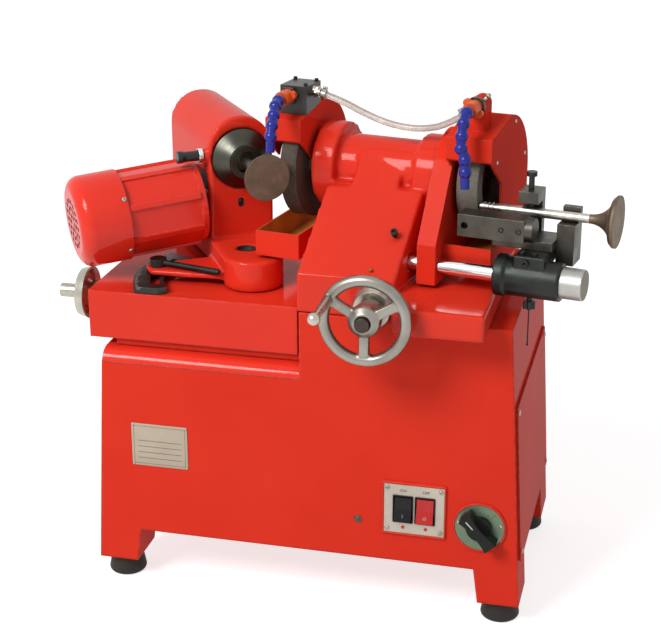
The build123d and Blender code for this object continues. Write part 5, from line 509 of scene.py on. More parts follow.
# Paints; the vents' box is in mm
RED = (234, 58, 38)
RED_DEEP = (220, 46, 30)
BRIGHT_RED = (242, 56, 36)
BRIGHT_DEEP = (226, 44, 30)
VENT_LIP = 0.15
VENT_DEPTH = 20
VENT_REACH = 30.5
left_tray_stain = tray_stain(wheel_at(-85.5, -9, -60), (0.0262, 0.0858, 0.033))
right_tray_stain = tray_stain(wheel_at(138, 4.5, -56), (0.0268, 0.0763, 0.029))
paint("cabinet_red", RED, RED_DEEP, edge=0.004, coat=0.15)
paint("casting_red", RED, RED_DEEP, edge=0.003, peel=260.0, lump=0.00012, coat=0.45)
paint("guard_red", RED, RED_DEEP, edge=0.0022)
paint("motor_red", BRIGHT_RED, BRIGHT_DEEP, edge=0.002, peel=300.0, lump=0.0001, coat=0.7)
paint("cowl_red", BRIGHT_RED, BRIGHT_DEEP, edge=0.0006, peel=300.0, lump=0.0001, coat=0.7, inner=dark_vents)
paint("left_tray_red", RED, RED_DEEP, edge=0.001, inner=left_tray_stain)
paint("right_tray_red", RED, RED_DEEP, edge=0.001, inner=right_tray_stain)

# Bare metals
brushed_metal("bright_steel", (196, 192, 184), (150, 144, 134), rough=0.3, stretch=(500, 500, 60))
turned_metal("wheel_alloy", (156, 152, 144), (116, 110, 100), FEED_AXIS, rough=0.3)
turned_metal("collar_steel", (196, 190, 178), (150, 142, 128), FEED_AXIS, rough=0.3)
turned_metal("handle_steel", (198, 192, 180), (150, 144, 132), HANDLE_AXIS, rough=0.26)
turned_metal("traverse_alloy", (190, 186, 174), (140, 134, 122), TRAVERSE_AXIS, rough=0.3)
turned_metal("spindle_steel", (186, 184, 178), (130, 126, 118), WHEEL_AXIS)
turned_metal("work_steel", (176, 176, 172), (110, 108, 104), WORK_AXIS)
turned_metal("bar_chrome", (236, 236, 236), (214, 214, 214), BAR_AXIS, rough=0.12, lump=0.000006, corner_shade=0.2)
turned_metal("chuck_grey", (84, 84, 76), (56, 56, 50), WORK_AXIS, rough=0.34, lump=0.00005)
turned_metal("bronze", (176, 132, 74), (124, 88, 46), WORK_AXIS)
two_part_metal(
    "satin_knob", ((182, 182, 177), (160, 160, 156)), ((140, 132, 122), (112, 104, 94)),
    BAR_AXIS, start=0.2766, end=0.29, rough=0.4,
)
two_part_metal(
    "held_valve", ((200, 196, 188), (150, 146, 138)), ((120, 102, 86), (84, 70, 58)),
    WORK_AXIS, start=0.0045, end=0.0262,
)
two_part_metal(
    "stem_valve", ((214, 210, 202), (160, 154, 144)), ((128, 112, 94), (88, 76, 62)),
    STEM_AXIS, start=0.268, end=0.31,
)
brushed_metal("plate_metal", (188, 180, 166), (164, 156, 142), rough=0.36, metal=0.6)
brushed_metal("rotary_metal", (116, 136, 110), (88, 106, 84), rough=0.4, metal=0.4)
brushed_metal("plate_beige", (188, 174, 154), (170, 156, 134), rough=0.42, metal=0.25)
brushed_metal("screw_steel", (176, 170, 160), (120, 114, 104), rough=0.34, stretch=(300, 300, 300))

# Blacked steels, plastics, rubbers, marks and grit
blacked_steel("oxide_black", (30, 34, 32), (52, 56, 52), (120, 118, 110))
blacked_steel("oxide_grey", (88, 84, 76), (62, 60, 54), (150, 146, 136), metal=0.85)
blacked_steel("sector_grey", (58, 58, 54), (40, 40, 38), (150, 148, 140), metal=0.8)
blacked_steel("seat_brown", (76, 62, 54), (52, 44, 40), (140, 128, 116))
blacked_steel("screw_black", (30, 30, 30), (48, 46, 44), (110, 106, 100))
moulded("block_black", (40, 40, 38), (58, 56, 52), rough=0.38)
moulded("adapter_black", (34, 30, 30), (52, 44, 42), rough=0.45)
moulded("plunger_black", (28, 28, 28), (44, 42, 40), rough=0.3)
moulded("rocker_black", (20, 20, 21), (34, 34, 34), rough=0.2, shine=0.25)
moulded("rocker_red", (200, 26, 20), (170, 18, 16), rough=0.22)
moulded("knob_black", (20, 22, 20), (36, 40, 35), rough=0.32, shine=0.2)
moulded("tap_orange", (236, 92, 22), (214, 74, 14), rough=0.36)
moulded("nozzle_blue", (24, 36, 150), (16, 24, 118), rough=0.24, shine=0.4)
moulded("foot_rubber", (42, 38, 34), (62, 56, 50), rough=0.62, grain=500.0, lump=0.00015, shine=0.3)
moulded("belt_rubber", (30, 30, 30), (46, 44, 42), rough=0.7)
moulded("fan_plastic", (46, 46, 46), (62, 60, 58), rough=0.5)
moulded("hidden_grey", (92, 98, 100), (72, 76, 78), rough=0.5)
moulded("mark_ink", (26, 26, 26), (40, 38, 36), rough=0.5)
moulded("mark_white", (226, 224, 216), (206, 202, 192), rough=0.5)
moulded("rule_grey", (120, 110, 96), (96, 88, 76), rough=0.5)
moulded("lamp_red", (214, 40, 30), (180, 24, 20), rough=0.18)
grinding_grit("wheel_grit", (76, 64, 54), (132, 120, 104), (52, 44, 38))
grinding_grit("cup_grit", (112, 108, 98), (164, 158, 146), (78, 74, 66))
clear_tube("hose_clear")

# Finishes of the slots that have another name, and of nodes with their own
BY_SLOT = {
    "red_paint": "casting_red",
    "black_oxide": "oxide_black",
    "black_plastic": "rocker_black",
    "red_plastic": "rocker_red",
    "orange_plastic": "tap_orange",
    "blue_plastic": "nozzle_blue",
    "handle_red": "handle_steel",
    "abrasive": "wheel_grit",
    "chuck_metal": "chuck_grey",
    "valve_steel": "held_valve",
    "satin_steel": "satin_knob",
    "clear_hose": "hose_clear",
    "motor_grey": "hidden_grey",
}
BY_NODE = {
    "base_cabinet": "cabinet_red",
    "side_cover": "cabinet_red",
    "left_guard": "guard_red",
    "right_guard": "guard_red",
    "left_tray": "left_tray_red",
    "right_tray": "right_tray_red",
    "motor_frame": "motor_red",
    "motor_cowl": "cowl_red",
    "motor_adapter": "adapter_black",
    "front_handwheel": "wheel_alloy",
    "feed_collar": "collar_steel",
    "feed_screw": "seat_brown",
    "traverse_wheel": "traverse_alloy",
    "traverse_screw": "traverse_alloy",
    "wheel_spindle": "spindle_steel",
    "spindle_bearings": "spindle_steel",
    "work_spindle": "work_steel",
    "work_bearings": "work_steel",
    "index_plunger": "plunger_black",
    "angle_sector": "sector_grey",
    "coolant_block": "block_black",
    "v_block": "oxide_grey",
    "stem_rest": "oxide_grey",
    "cup_wheel": "cup_grit",
    "stem_valve": "stem_valve",
    "rotary_knob": "knob_black",
    "slideways": "cabinet_red",
}
for row in frame["record"]["subparts"]:
    node = NODES[row["node"]]
    node.data.materials.clear()
    of_slot = BY_SLOT.get(row["material_slot"], row["material_slot"])
    node.data.materials.append(FINISHES[BY_NODE.get(row["node"], of_slot)])


# Clear hose that hangs from the block to the post, its route in mm on the wheel head
HOSE_RADIUS = 3.8
HOSE_ROUTE = (
    (-60.0, -28.0, 88.5),
    (-35.0, -28.0, 82.5),
    (-7.0, -28.0, 70.5),
    (20.0, -28.0, 61.5),
    (48.0, -28.0, 57.5),
    (75.0, -28.0, 59.5),
    (98.0, -29.0, 68.0),
    (118.0, -30.0, 81.0),
)
hose_line = bpy.data.curves.new("clear_hose", "CURVE")
hose_line.dimensions = "3D"
hose_spline = hose_line.splines.new("NURBS")
hose_spline.points.add(len(HOSE_ROUTE) - 1)
for point, spot in zip(hose_spline.points, HOSE_ROUTE):
    point.co = (*wheel_at(*spot), 1)
hose_spline.order_u = 3
hose_spline.use_endpoint_u = True
hose_line.resolution_u = 12
hose_line.bevel_depth = HOSE_RADIUS * MM
hose_line.bevel_resolution = 6
hose_line.materials.append(FINISHES["hose_clear"])
clear_hose = bpy.data.objects.new("clear_hose", hose_line)
bpy.context.scene.collection.objects.link(clear_hose)
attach(clear_hose, "wheelhead")
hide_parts("coolant_hose")


# Castings: inner corners filled and edges rounded off by modifiers, as poured iron is
CAST_SKINS = (
    ("wheelhead_casting", 0.0024, 5),
    ("workhead_casting", 0.0024, 4),
    ("front_handwheel", 0.0012, 6),
    ("clamp_body", 0.0014, 4),
)
for node, voxel, passes in CAST_SKINS:
    remade = NODES[node].modifiers.new("cast_skin", "REMESH")
    remade.mode = "VOXEL"
    remade.voxel_size = voxel
    remade.use_smooth_shade = True
    eased = NODES[node].modifiers.new("cast_corners", "SMOOTH")
    eased.factor = 0.5
    eased.iterations = passes


# Small fittings: shapes in mm, each with its height along its own third axis
RING_STEPS = 36
CORNER_STEPS = 8
SLOT_SHARE = 0.2
LEAST = 0.01
SHARP_ANGLE = radians(35)
LETTER_HALF = 0.08
MARK_LIFT = 0.06
TICK_TOP = 0.14


def outline_reach(shape, size, angle):
    """Distance from the middle to the edge of a round, hexagonal, slotted or crossed shape."""
    if shape == "hex":
        return size * cos(radians(30)) / cos(angle % radians(60) - radians(30))
    if shape == "slot":
        return min(SLOT_SHARE * size / max(abs(sin(angle)), LEAST), size / max(abs(cos(angle)), LEAST))
    if shape == "cross":
        return max(outline_reach("slot", size, angle), outline_reach("slot", size, angle + pi / 2))
    return size


def ring(shape, size, height):
    """Ring of points at one height."""
    points = []
    for step in range(RING_STEPS):
        angle = 2 * pi * step / RING_STEPS
        out = outline_reach(shape, size, angle)
        points.append((out * cos(angle), out * sin(angle), height))
    return points


def panel(half_width, half_height, corner, height):
    """Ring of points round a panel with round corners."""
    points = []
    for quarter, (right, top) in enumerate(((1, 1), (-1, 1), (-1, -1), (1, -1))):
        for step in range(CORNER_STEPS + 1):
            angle = pi / 2 * (quarter + step / CORNER_STEPS)
            across = right * (half_width - corner) + corner * cos(angle)
            points.append((across, top * (half_height - corner) + corner * sin(angle), height))
    return points


def loft(rings, closed=False):
    """Shape through rings of points: capped at both ends, or joined end to end as a frame is."""
    count = len(rings[0])
    points = [point for one in rings for point in one]
    faces = []
    for low in range(len(rings) if closed else len(rings) - 1):
        first = low * count
        second = (low + 1) % len(rings) * count
        for here in range(count):
            after = (here + 1) % count
            faces.append((first + here, first + after, second + after, second + here))
    if not closed:
        faces.append(tuple(range(count - 1, -1, -1)))
        faces.append(tuple(range(len(points) - count, len(points))))
    return points, faces


def sheet(half_width, half_height, corner, low, high):
    """Panel between two heights."""
    return loft([panel(half_width, half_height, corner, height) for height in (low, high)])


def bezel(profile):
    """Frame through panels."""
    return loft([panel(*step) for step in profile], closed=True)


def turned(*profile):
    """Capped shape through rings of a kind, size and height."""
    return loft([ring(*step) for step in profile])


def hoop(inner, outer, low, high, shape="round"):
    """Ring with softened rims, which may be a hexagon outside."""
    soft = min(0.4, (high - low) / 4)
    steps = (
        ("round", inner, low),
        (shape, outer - soft, low),
        (shape, outer, low + soft),
        (shape, outer, high - soft),
        (shape, outer - soft, high),
        ("round", inner, high),
    )
    return loft([ring(*step) for step in steps], closed=True)


def cap_screw(radius, low, high):
    """Round head with a hexagon socket."""
    socket = radius * 0.55
    return turned(
        ("round", radius, low),
        ("round", radius, high - 0.5),
        ("round", radius - 0.4, high),
        ("hex", socket, high),
        ("hex", socket, high - radius * 0.7),
    )


def driven_screw(kind, radius, high):
    """Low domed head with a slot or a cross."""
    recess = radius * 0.66
    return turned(
        ("round", radius, -0.2),
        ("round", radius, high * 0.4),
        ("round", radius * 0.86, high * 0.8),
        ("round", radius * 0.68, high),
        (kind, recess, high),
        (kind, recess, high * 0.35),
    )


def rivet(radius, high):
    """Domed head."""
    return turned(
        ("round", radius, -0.2),
        ("round", radius * 0.94, high * 0.45),
        ("round", radius * 0.7, high * 0.8),
        ("round", radius * 0.35, high * 0.97),
        ("round", radius * 0.05, high),
    )


def ball_pin(radius, length, ball):
    """Thin pin with a ball on its end."""
    steps = [("round", radius, -0.5), ("round", radius, length)]
    for turn in range(-60, 90, 25):
        steps.append(("round", ball * cos(radians(turn)), length + ball + ball * sin(radians(turn))))
    return turned(*steps)


def lettering(words, size):
    """Flat raised letters or digits."""
    curve = bpy.data.curves.new("lettering", "FONT")
    curve.body = words
    curve.size = size
    curve.extrude = LETTER_HALF
    curve.align_x = "CENTER"
    curve.align_y = "CENTER"
    holder = bpy.data.objects.new("lettering", curve)
    mesh = bpy.data.meshes.new_from_object(holder)
    shape = [tuple(corner.co) for corner in mesh.vertices], [tuple(side.vertices) for side in mesh.polygons]
    bpy.data.objects.remove(holder)
    bpy.data.meshes.remove(mesh)
    bpy.data.curves.remove(curve)
    return shape


def facing(spot, out, up=UP):
    """Place in mm whose third axis looks out and whose second leans up."""
    high = Vector(out).normalized()
    side = Vector(up).cross(high).normalized()
    return Matrix.Translation(Vector(spot)) @ Matrix((side, high.cross(side), high)).transposed().to_4x4()


def moved(spot, across, up, out=0.0):
    """Place shifted along its own axes."""
    return spot @ Matrix.Translation((across, up, out))


def four_corners(half_width, half_height):
    """Spots at the corners of a panel."""
    return [(right * half_width, top * half_height) for right in (-1, 1) for top in (-1, 1)]


def landing(node, start, way):
    """Place in mm on a node's surface where a straight line first meets it."""
    met, spot, normal, _ = NODES[node].ray_cast(Vector(start) * MM, Vector(way))
    assert met, "no " + node + " there"
    return facing(spot / MM, normal)


def fitting(name, body, slot, finish, *shapes):
    """Piece of one or more shapes at their places, which rides on a body."""
    points = []
    faces = []
    for (corners, sides), spot in shapes:
        faces += [tuple(len(points) + corner for corner in side) for side in sides]
        points += [spot @ Vector(corner) * MM for corner in corners]
    mesh = bpy.data.meshes.new(name)
    mesh.from_pydata(points, [], faces)
    mesh.materials.append(FINISHES[finish])
    mesh.shade_smooth()
    mesh.set_sharp_from_angle(angle=SHARP_ANGLE)
    piece = bpy.data.objects.new(name, mesh)
    bpy.context.scene.collection.objects.link(piece)
    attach(piece, body)


# Bare name plate, with ruled lines and rivets
PLATE_PLACE = facing((-176, CABINET_FRONT, 187.5), FRONT)
PLATE_HALF_WIDTH = 35.0
PLATE_HALF_HEIGHT = 27.4
PLATE_TOP = 1.0
BORDER_INSET = 2.8
RULE_HALF = 27.0
RULE_LEVELS = (5.5, -2.0, -9.5, -17.0)
RULE_LOW = 0.9
RULE_HIGH = 1.1
RIVET_INSET = 1.8


def plate_panel(inset, corner, height):
    """Ring round the name plate, set in from its edge."""
    return panel(PLATE_HALF_WIDTH - inset, PLATE_HALF_HEIGHT - inset, corner, height)


name_sheet = loft([plate_panel(0, 1.2, -0.3), plate_panel(0, 1.2, 0.7), plate_panel(0.5, 1.0, PLATE_TOP)])
fitting("name_plate", "base", "plate_metal", "plate_beige", (name_sheet, PLATE_PLACE))
border = [
    plate_panel(BORDER_INSET, 0.8, RULE_LOW),
    plate_panel(BORDER_INSET, 0.8, RULE_HIGH),
    plate_panel(BORDER_INSET + 0.4, 0.6, RULE_HIGH),
    plate_panel(BORDER_INSET + 0.4, 0.6, RULE_LOW),
]
rule = sheet(RULE_HALF, 0.3, 0.25, RULE_LOW, RULE_HIGH)
fitting(
    "plate_rules", "base", "plate_metal", "rule_grey",
    (loft(border, closed=True), PLATE_PLACE),
    *[(rule, moved(PLATE_PLACE, 0, level)) for level in RULE_LEVELS],
)
rivet_spots = four_corners(PLATE_HALF_WIDTH - RIVET_INSET, PLATE_HALF_HEIGHT - RIVET_INSET)
fitting(
    "plate_rivets", "base", "bright_steel", "screw_steel",
    *[(rivet(1.5, 1.0), moved(PLATE_PLACE, *spot, RULE_LOW)) for spot in rivet_spots],
)

# Switch plate: painted surround, frames round the rockers, screws, words, lamps and rocker marks
SWITCH_ACROSS = 134
SWITCH_PLACE = facing((SWITCH_ACROSS, SWITCH_FRONT, 141), FRONT)
SURROUND_PROFILE = (
    (38.2, 35.0, 3.0, -2.2),
    (37.9, 34.6, 2.8, -0.9),
    (37.2, 33.6, 2.4, 0.4),
    (36.2, 32.2, 1.8, 0.7),
    (35.6, 31.1, 1.2, -0.2),
    (35.6, 31.1, 1.2, -2.2),
)
FRAME_PROFILE = (
    (12.1, 17.4, 1.2, -0.2),
    (12.1, 17.4, 1.2, 1.1),
    (11.8, 17.1, 1.0, 1.5),
    (11.0, 16.6, 0.8, 1.5),
    (10.7, 16.3, 0.6, -0.2),
)
ROCKER_ACROSS = 13
LAMP_SPOTS = ((-13, -23.4), (14, -23.4))
ON_SPOT = (-13, 23.6)
OFF_SPOT = (14, 23.6)
LETTER_SIZE = 5.0
ROCKER_MARK_LEVEL = 133
FAR_FRONT = -300
fitting("switch_surround", "base", "red_paint", "casting_red", (bezel(SURROUND_PROFILE), SWITCH_PLACE))
fitting(
    "rocker_frames", "base", "black_plastic", "rocker_black",
    (bezel(FRAME_PROFILE), moved(SWITCH_PLACE, -ROCKER_ACROSS, 0)),
    (bezel(FRAME_PROFILE), moved(SWITCH_PLACE, ROCKER_ACROSS, 0)),
)
fitting(
    "switch_screws", "base", "bright_steel", "screw_steel",
    *[(driven_screw("cross", 2.7, 1.3), moved(SWITCH_PLACE, *spot)) for spot in four_corners(31.5, 26.5)],
)
fitting(
    "switch_words", "base", "black_plastic", "mark_ink",
    (lettering("ON", LETTER_SIZE), moved(SWITCH_PLACE, *ON_SPOT, MARK_LIFT)),
    (lettering("OFF", LETTER_SIZE), moved(SWITCH_PLACE, *OFF_SPOT, MARK_LIFT)),
)
fitting(
    "switch_lamps", "base", "red_plastic", "lamp_red",
    *[(rivet(2.1, 1.2), moved(SWITCH_PLACE, *spot)) for spot in LAMP_SPOTS],
)
for body, across, mark in (("black_rocker", -ROCKER_ACROSS, "I"), ("red_rocker", ROCKER_ACROSS, "O")):
    mark_start = (SWITCH_ACROSS + across, FAR_FRONT, ROCKER_MARK_LEVEL)
    mark_place = moved(landing(body, mark_start, -FRONT), 0, 0, MARK_LIFT)
    fitting(body + "_mark", body, "plate_metal", "mark_white", (lettering(mark, LETTER_SIZE), mark_place))

# Rotary switch: painted surround, ticks, digits and rivets on its plate, a white line on its knob
DIAL_PLACE = facing((211, SWITCH_FRONT, 128), FRONT)
DIAL_PROFILE = ((31.8, -2.2), (31.4, -0.9), (30.6, 0.4), (29.4, 0.7), (28.7, -0.2), (28.7, -2.2))
DIAL_TURN = 45
DIGIT_OUT = 23.6
TICK_OUT = 19.4
DIAL_RIVET_TURN = 80
DIAL_RIVET_OUT = 25.0
KNOB_LINE_START = (201.5, FAR_FRONT, 138)
KNOB_POINTS = (-0.69, 0, 0.72)


def round_dial(angle, out, lift=0.0):
    """Place on the dial at an angle from its top, clockwise."""
    return moved(DIAL_PLACE @ Matrix.Rotation(radians(-angle), 4, "Z"), 0, out, lift)


dial_rim = loft([ring("round", *step) for step in DIAL_PROFILE], closed=True)
fitting("dial_surround", "base", "red_paint", "casting_red", (dial_rim, DIAL_PLACE))
dial_tick = sheet(0.3, 1.1, 0.2, 0, TICK_TOP)
fitting(
    "dial_marks", "base", "black_plastic", "mark_ink",
    (lettering("0", LETTER_SIZE), round_dial(-DIAL_TURN, DIGIT_OUT, MARK_LIFT)),
    (lettering("1", LETTER_SIZE), round_dial(DIAL_TURN, DIGIT_OUT, MARK_LIFT)),
    *[(dial_tick, round_dial(angle, TICK_OUT)) for angle in range(-DIAL_TURN, DIAL_TURN + 1, 15)],
)
fitting(
    "dial_rivets", "base", "bright_steel", "screw_steel",
    (rivet(1.9, 1.1), round_dial(-DIAL_RIVET_TURN, DIAL_RIVET_OUT)),
    (rivet(1.9, 1.1), round_dial(DIAL_RIVET_TURN, DIAL_RIVET_OUT)),
)
knob_line = loft([panel(0.7, 6.0, 0.5, -0.1), panel(0.7, 6.0, 0.5, 0.2), panel(0.5, 5.8, 0.4, 0.3)])
knob_top = landing("rotary_knob", KNOB_LINE_START, -FRONT).translation
knob_mark = facing(knob_top, FRONT, KNOB_POINTS)
fitting("knob_line", "rotary_knob", "plate_metal", "mark_white", (knob_line, knob_mark))

# Rounded ledge of the cabinet under the carriage: a quarter of an ellipse, filled behind
LEDGE_ENDS = (-243.8, -2.8)
LEDGE_BACK = -125.2
LEDGE_FOOT = 290.0
LEDGE_DEPTH = 19.9
LEDGE_RISE = 15.6
LEDGE_STEPS = 16
LEDGE_INNER = ((LEDGE_BACK, 303.4), (-143.6, 291.4))
ledge_outline = []
for step in range(LEDGE_STEPS + 1):
    angle = pi / 2 * step / LEDGE_STEPS
    ledge_outline.append((LEDGE_BACK - LEDGE_DEPTH * cos(angle), LEDGE_FOOT + LEDGE_RISE * sin(angle)))
ledge_outline += LEDGE_INNER
ledge_roll = loft([[(across, *point) for point in ledge_outline] for across in LEDGE_ENDS])
fitting("ledge_roll", "base", "red_paint", "motor_red", (ledge_roll, Matrix.Identity(4)))

# Screws and plugs of the cabinet
FRONT_PLUG_PLACE = facing((67.2, CABINET_FRONT, 120.7), FRONT)
COVER_SPOTS = ((-126, 268), (-124, 92), (126, 268), (124, 92))
FAR_RIGHT = 400
fitting(
    "front_plug", "base", "bright_steel", "oxide_grey",
    (hoop(2.9, 4.6, -0.2, 0.9), FRONT_PLUG_PLACE),
    (driven_screw("slot", 3.0, 1.7), FRONT_PLUG_PLACE),
)
fitting(
    "cover_screws", "base", "bright_steel", "screw_steel",
    *[
        (driven_screw("cross", 3.3, 1.6), landing("side_cover", (FAR_RIGHT, *spot), -RIGHT))
        for spot in COVER_SPOTS
    ],
)

# Wheel head: socket screw, oil nipple, guard screws, tap seats, post pin, block screws, hose clips
PILLAR_PROFILE = ((2.6, -1.0), (2.6, 6.0), (4.0, 6.0), (4.2, 6.4), (4.2, 10.6), (3.8, 11.0))
COLUMN_OUT = (0, -0.699, 0.715)
POST_OUT = (0.696, -0.123, 0.707)
PILLAR_SPOT = (98.1, -103.7, 458.3)
NIPPLE_SPOT = (78.1, -136.5, 426.3)
POST_SPOT = (187.1, -64.6, 608.8)
GUARD_SPOTS = (Vector((204.9, -71.2, 540.7)), wheel_spot(160, 20, 66), wheel_spot(160, 60, 20))
BLOCK_TOP = 98.5
BLOCK_SPOTS = ((-72, -43), (-72, -13), (-99, -13))
CLIP_STEP = 4.5
LUG_OUT = 6.6
pillar_stem = [("round", *step) for step in PILLAR_PROFILE]
pillar_screw = turned(*pillar_stem, ("hex", 2.3, 11.0), ("hex", 2.3, 8.4))
pillar_place = facing(PILLAR_SPOT, COLUMN_OUT)
fitting("pillar_screw", "wheelhead", "black_oxide", "screw_black", (pillar_screw, pillar_place))
nipple_place = facing(NIPPLE_SPOT, COLUMN_OUT)
fitting("oil_nipple", "wheelhead", "bright_steel", "bronze", (ball_pin(1.6, 0.8, 1.9), nipple_place))
fitting(
    "guard_screws", "wheelhead", "bright_steel", "screw_steel",
    *[(rivet(2.4, 1.4), facing(spot, WHEEL_ALONG)) for spot in GUARD_SPOTS],
)
fitting(
    "tap_seats", "wheelhead", "black_oxide", "seat_brown",
    (hoop(8.7, 11.0, -0.2, 5.0), facing(wheel_spot(134, -44, 94), -WHEEL_BACK)),
    (hoop(8.7, 11.2, -0.2, 4.5, "hex"), facing(wheel_spot(-90, -48, 87), -WHEEL_BACK)),
)
post_place = facing(POST_SPOT, POST_OUT)
fitting("post_pin", "wheelhead", "bright_steel", "screw_steel", (ball_pin(1.7, 4.5, 2.9), post_place))
fitting(
    "bleed_screw", "wheelhead", "black_oxide", "screw_black",
    *[(cap_screw(2.4, -1.0, 3.0), facing(wheel_spot(*spot, BLOCK_TOP), UP, FRONT)) for spot in BLOCK_SPOTS],
)
clips = []
for end, inner in ((HOSE_ROUTE[0], HOSE_ROUTE[1]), (HOSE_ROUTE[-1], HOSE_ROUTE[-2])):
    run = (wheel_spot(*inner) - wheel_spot(*end)).normalized()
    clip_place = facing(wheel_spot(*end) + run * CLIP_STEP, run)
    clips.append((hoop(3.9, 5.3, -3.0, 3.0), clip_place))
    clips.append((sheet(1.6, 2.2, 0.4, -2.4, 2.4), moved(clip_place, 0, LUG_OUT)))
    clips.append((hoop(3.9, 7.0, -10.5, -7.0, "hex"), clip_place))
fitting("hose_clips", "wheelhead", "bright_steel", "screw_steel", *clips)

# Work head: dark cup in the hole as painted shade, slotted plug, adapter screws, plunger ring, cowl screws
CUP_PROFILE = ((11.4, 0.1), (11.4, 7.4), (10.9, 7.4), (10.4, 4.0), (9.6, 2.8), (8.4, 1.6), (7.4, 1.2))
SLOT_PROFILE = ((3.6, 5.6, 3.5, -0.3), (3.6, 5.6, 3.5, 0.3), (3.0, 5.0, 2.9, 0.3), (3.0, 5.0, 2.9, 0.05))
SLOT_PLACE = facing((-113.1, 0.3, 453.5), WORK_ALONG)
ADAPTER_LEVELS = (469, 430)
ADAPTER_AWAY = 60
COWL_TURNS = (35, 145, 215, 325)
COWL_ALONG = 146
COWL_OUT = 55
# the dark cup set in the boss's hole stands for the shade inside the hole: painted shade
shade_cup_shape = turned(*(("round", *step) for step in CUP_PROFILE))
hole_place = facing(work_spot(-26, -10, -106), UP, FRONT)
fitting("hole_shade_cup", "workhead", "foot_rubber", "foot_rubber", (shade_cup_shape, hole_place))
fitting(
    "work_slot", "workhead", "black_oxide", "screw_black",
    (loft([panel(*step) for step in SLOT_PROFILE]), SLOT_PLACE),
    (driven_screw("slot", 1.8, 0.8), moved(SLOT_PLACE, 0, 1.5, 0.1)),
)
adapter_screws = []
for level in ADAPTER_LEVELS:
    start = Vector((-152.2, -14.9, level)) + WORK_ALONG * ADAPTER_AWAY
    adapter_screws.append((cap_screw(2.3, -0.5, 1.4), landing("motor_adapter", start, -WORK_ALONG)))
fitting("adapter_screws", "workhead", "black_oxide", "screw_steel", *adapter_screws)
fitting(
    "plunger_ring", "workhead", "bright_steel", "bar_chrome",
    (hoop(7.55, 8.5, 0.2, 5.6), facing(work_spot(-78, -46, 6), -WORK_ACROSS)),
)
cowl_screws = []
for turn in COWL_TURNS:
    away = Matrix.Rotation(radians(turn), 3, MOTOR_LINE) @ WORK_ALONG
    spot = MOTOR_MIDDLE + MOTOR_LINE * COWL_ALONG + away * COWL_OUT
    cowl_screws.append((driven_screw("cross", 3.0, 1.5), facing(spot, away, MOTOR_LINE)))
fitting("cowl_screws", "workhead", "bright_steel", "screw_steel", *cowl_screws)

# Stem attachment: screws and tommy rod
SLIDE_ALONG = (181, 201)
BRACKET_ALONG = (208, 222)
slide_screws = []
for along in SLIDE_ALONG:
    slide_screws.append((cap_screw(3.4, -0.5, 0.5), facing(wheel_spot(along, -88, -29.5), -WHEEL_BACK)))
fitting("slide_screws", "stem_slide", "black_oxide", "screw_black", *slide_screws)
bracket_screws = []
for along in BRACKET_ALONG:
    bracket_place = facing(wheel_spot(along, -92, -52), UP, -WHEEL_BACK)
    bracket_screws.append((cap_screw(3.6, -0.5, 3.4), bracket_place))
bracket_screws.append((cap_screw(4.0, -0.5, 3.6), facing(wheel_spot(214, -101, -59), -WHEEL_BACK)))
fitting("bracket_screws", "attachment", "black_oxide", "screw_black", *bracket_screws)
rod_place = facing(wheel_spot(216, -85, -117), -UP, FRONT)
fitting("lock_rod", "lock_knob", "black_oxide", "screw_black", (ball_pin(0.8, 40.0, 1.5), rod_place))

# Graduations of the feed collar
COLLAR_TICKS = 50
COLLAR_RADIUS = 24.46
COLLAR_REACH = 166.8
NUMBER_RADIUS = 24.5
NUMBER_REACH = 156.6
NUMBER_SIZE = 4.0
collar_marks = []
for step in range(COLLAR_TICKS):
    angle = 2 * pi * step / COLLAR_TICKS
    away = Vector((sin(angle), 0, cos(angle)))
    numbered = step % 5 == 0
    half = 3.4 if numbered else 2.0
    spot = FEED_MIDDLE + FRONT * (COLLAR_REACH - half) + away * COLLAR_RADIUS
    collar_marks.append((sheet(0.22, half, 0.15, 0, TICK_TOP), facing(spot, away, FRONT)))
    if numbered:
        spot = FEED_MIDDLE + FRONT * NUMBER_REACH + away * NUMBER_RADIUS
        collar_marks.append((lettering(str(step // 5), NUMBER_SIZE), facing(spot, away, FRONT)))
fitting("collar_marks", "front_handwheel", "black_plastic", "mark_ink", *collar_marks)

# Graduations of the angle sector, as far as its cut corner
SECTOR_DEGREES = range(154, 214, 2)
SECTOR_RADIUS = 140.5
SECTOR_TOP = 381
SECTOR_CUT = -139
sector_marks = []
for degrees in SECTOR_DEGREES:
    away = Vector((cos(radians(degrees)), sin(radians(degrees)), 0))
    half = 3.0 if degrees % 10 == 0 else 1.8
    spot = PIVOT + away * (SECTOR_RADIUS - half) + UP * SECTOR_TOP
    if spot.y > SECTOR_CUT:
        sector_marks.append((sheet(0.3, half, 0.2, -0.05, TICK_TOP), facing(spot, UP, away)))
fitting("sector_marks", "carriage", "plate_metal", "mark_white", *sector_marks)


# Floor, sky and lamp
FLOOR_REACH = 40.0
FLOOR_GREY = 0.7
FLOOR_GLOW = 0.72
SKY_LIGHT = 0.4


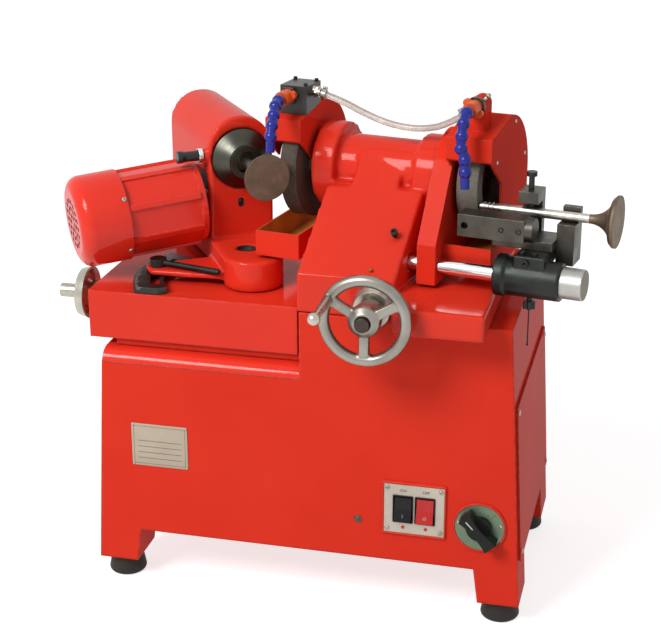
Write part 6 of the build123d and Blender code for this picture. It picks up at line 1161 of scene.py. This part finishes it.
def seen_white(tree):
    """1 for rays from the camera, and for reflections and refractions of it."""
    path = add_node(tree, "LightPath").outputs
    most = math(tree, "MAXIMUM", path["Is Camera Ray"], path["Is Glossy Ray"])
    return math(tree, "MAXIMUM", most, path["Is Transmission Ray"])


def make_floor():
    """Pale floor that keeps the shadow and looks white to the camera and in reflections."""
    mesh = bpy.data.meshes.new("floor")
    corners = [(*spot, 0) for spot in four_corners(FLOOR_REACH, FLOOR_REACH)]
    mesh.from_pydata(corners, [], [(0, 2, 3, 1)])
    floor = bpy.data.objects.new("floor", mesh)
    bpy.context.scene.collection.objects.link(floor)
    material = bpy.data.materials.new("floor_white")
    material.use_nodes = True
    tree = material.node_tree
    tree.nodes.remove(tree.nodes["Principled BSDF"])
    matte = add_node(tree, "BsdfDiffuse", {"Color": (FLOOR_GREY, FLOOR_GREY, FLOOR_GREY, 1)}).outputs[0]
    strength = math(tree, "MULTIPLY", seen_white(tree), FLOOR_GLOW)
    glow = add_node(tree, "Emission", {"Strength": strength}).outputs[0]
    both = add_node(tree, "AddShader", {0: matte, 1: glow}).outputs[0]
    tree.links.new(both, tree.nodes["Material Output"].inputs["Surface"])
    mesh.materials.append(material)


def make_sky():
    """White to the eye and in reflections, softer as a light."""
    world = bpy.data.worlds.new("studio")
    bpy.context.scene.world = world
    world.use_nodes = True
    tree = world.node_tree
    sky = tree.nodes["Background"]
    sky.inputs["Color"].default_value = (1, 1, 1, 1)
    tree.links.new(ranged(tree, seen_white(tree), SKY_LIGHT, 1.0), sky.inputs["Strength"])


def soft_lamp(name, spot, aim, size, power):
    """Square soft box that looks at a point."""
    data = bpy.data.lights.new(name, "AREA")
    data.size = size
    data.energy = power
    lamp = bpy.data.objects.new(name, data)
    lamp.location = spot
    lamp.rotation_euler = (Vector(aim) - Vector(spot)).to_track_quat("-Z", "Y").to_euler()
    bpy.context.scene.collection.objects.link(lamp)


make_floor()
make_sky()
soft_lamp("key_lamp", spot=(-1.3, -2.2, 2.5), aim=(0, 0, 0.35), size=1.2, power=75)
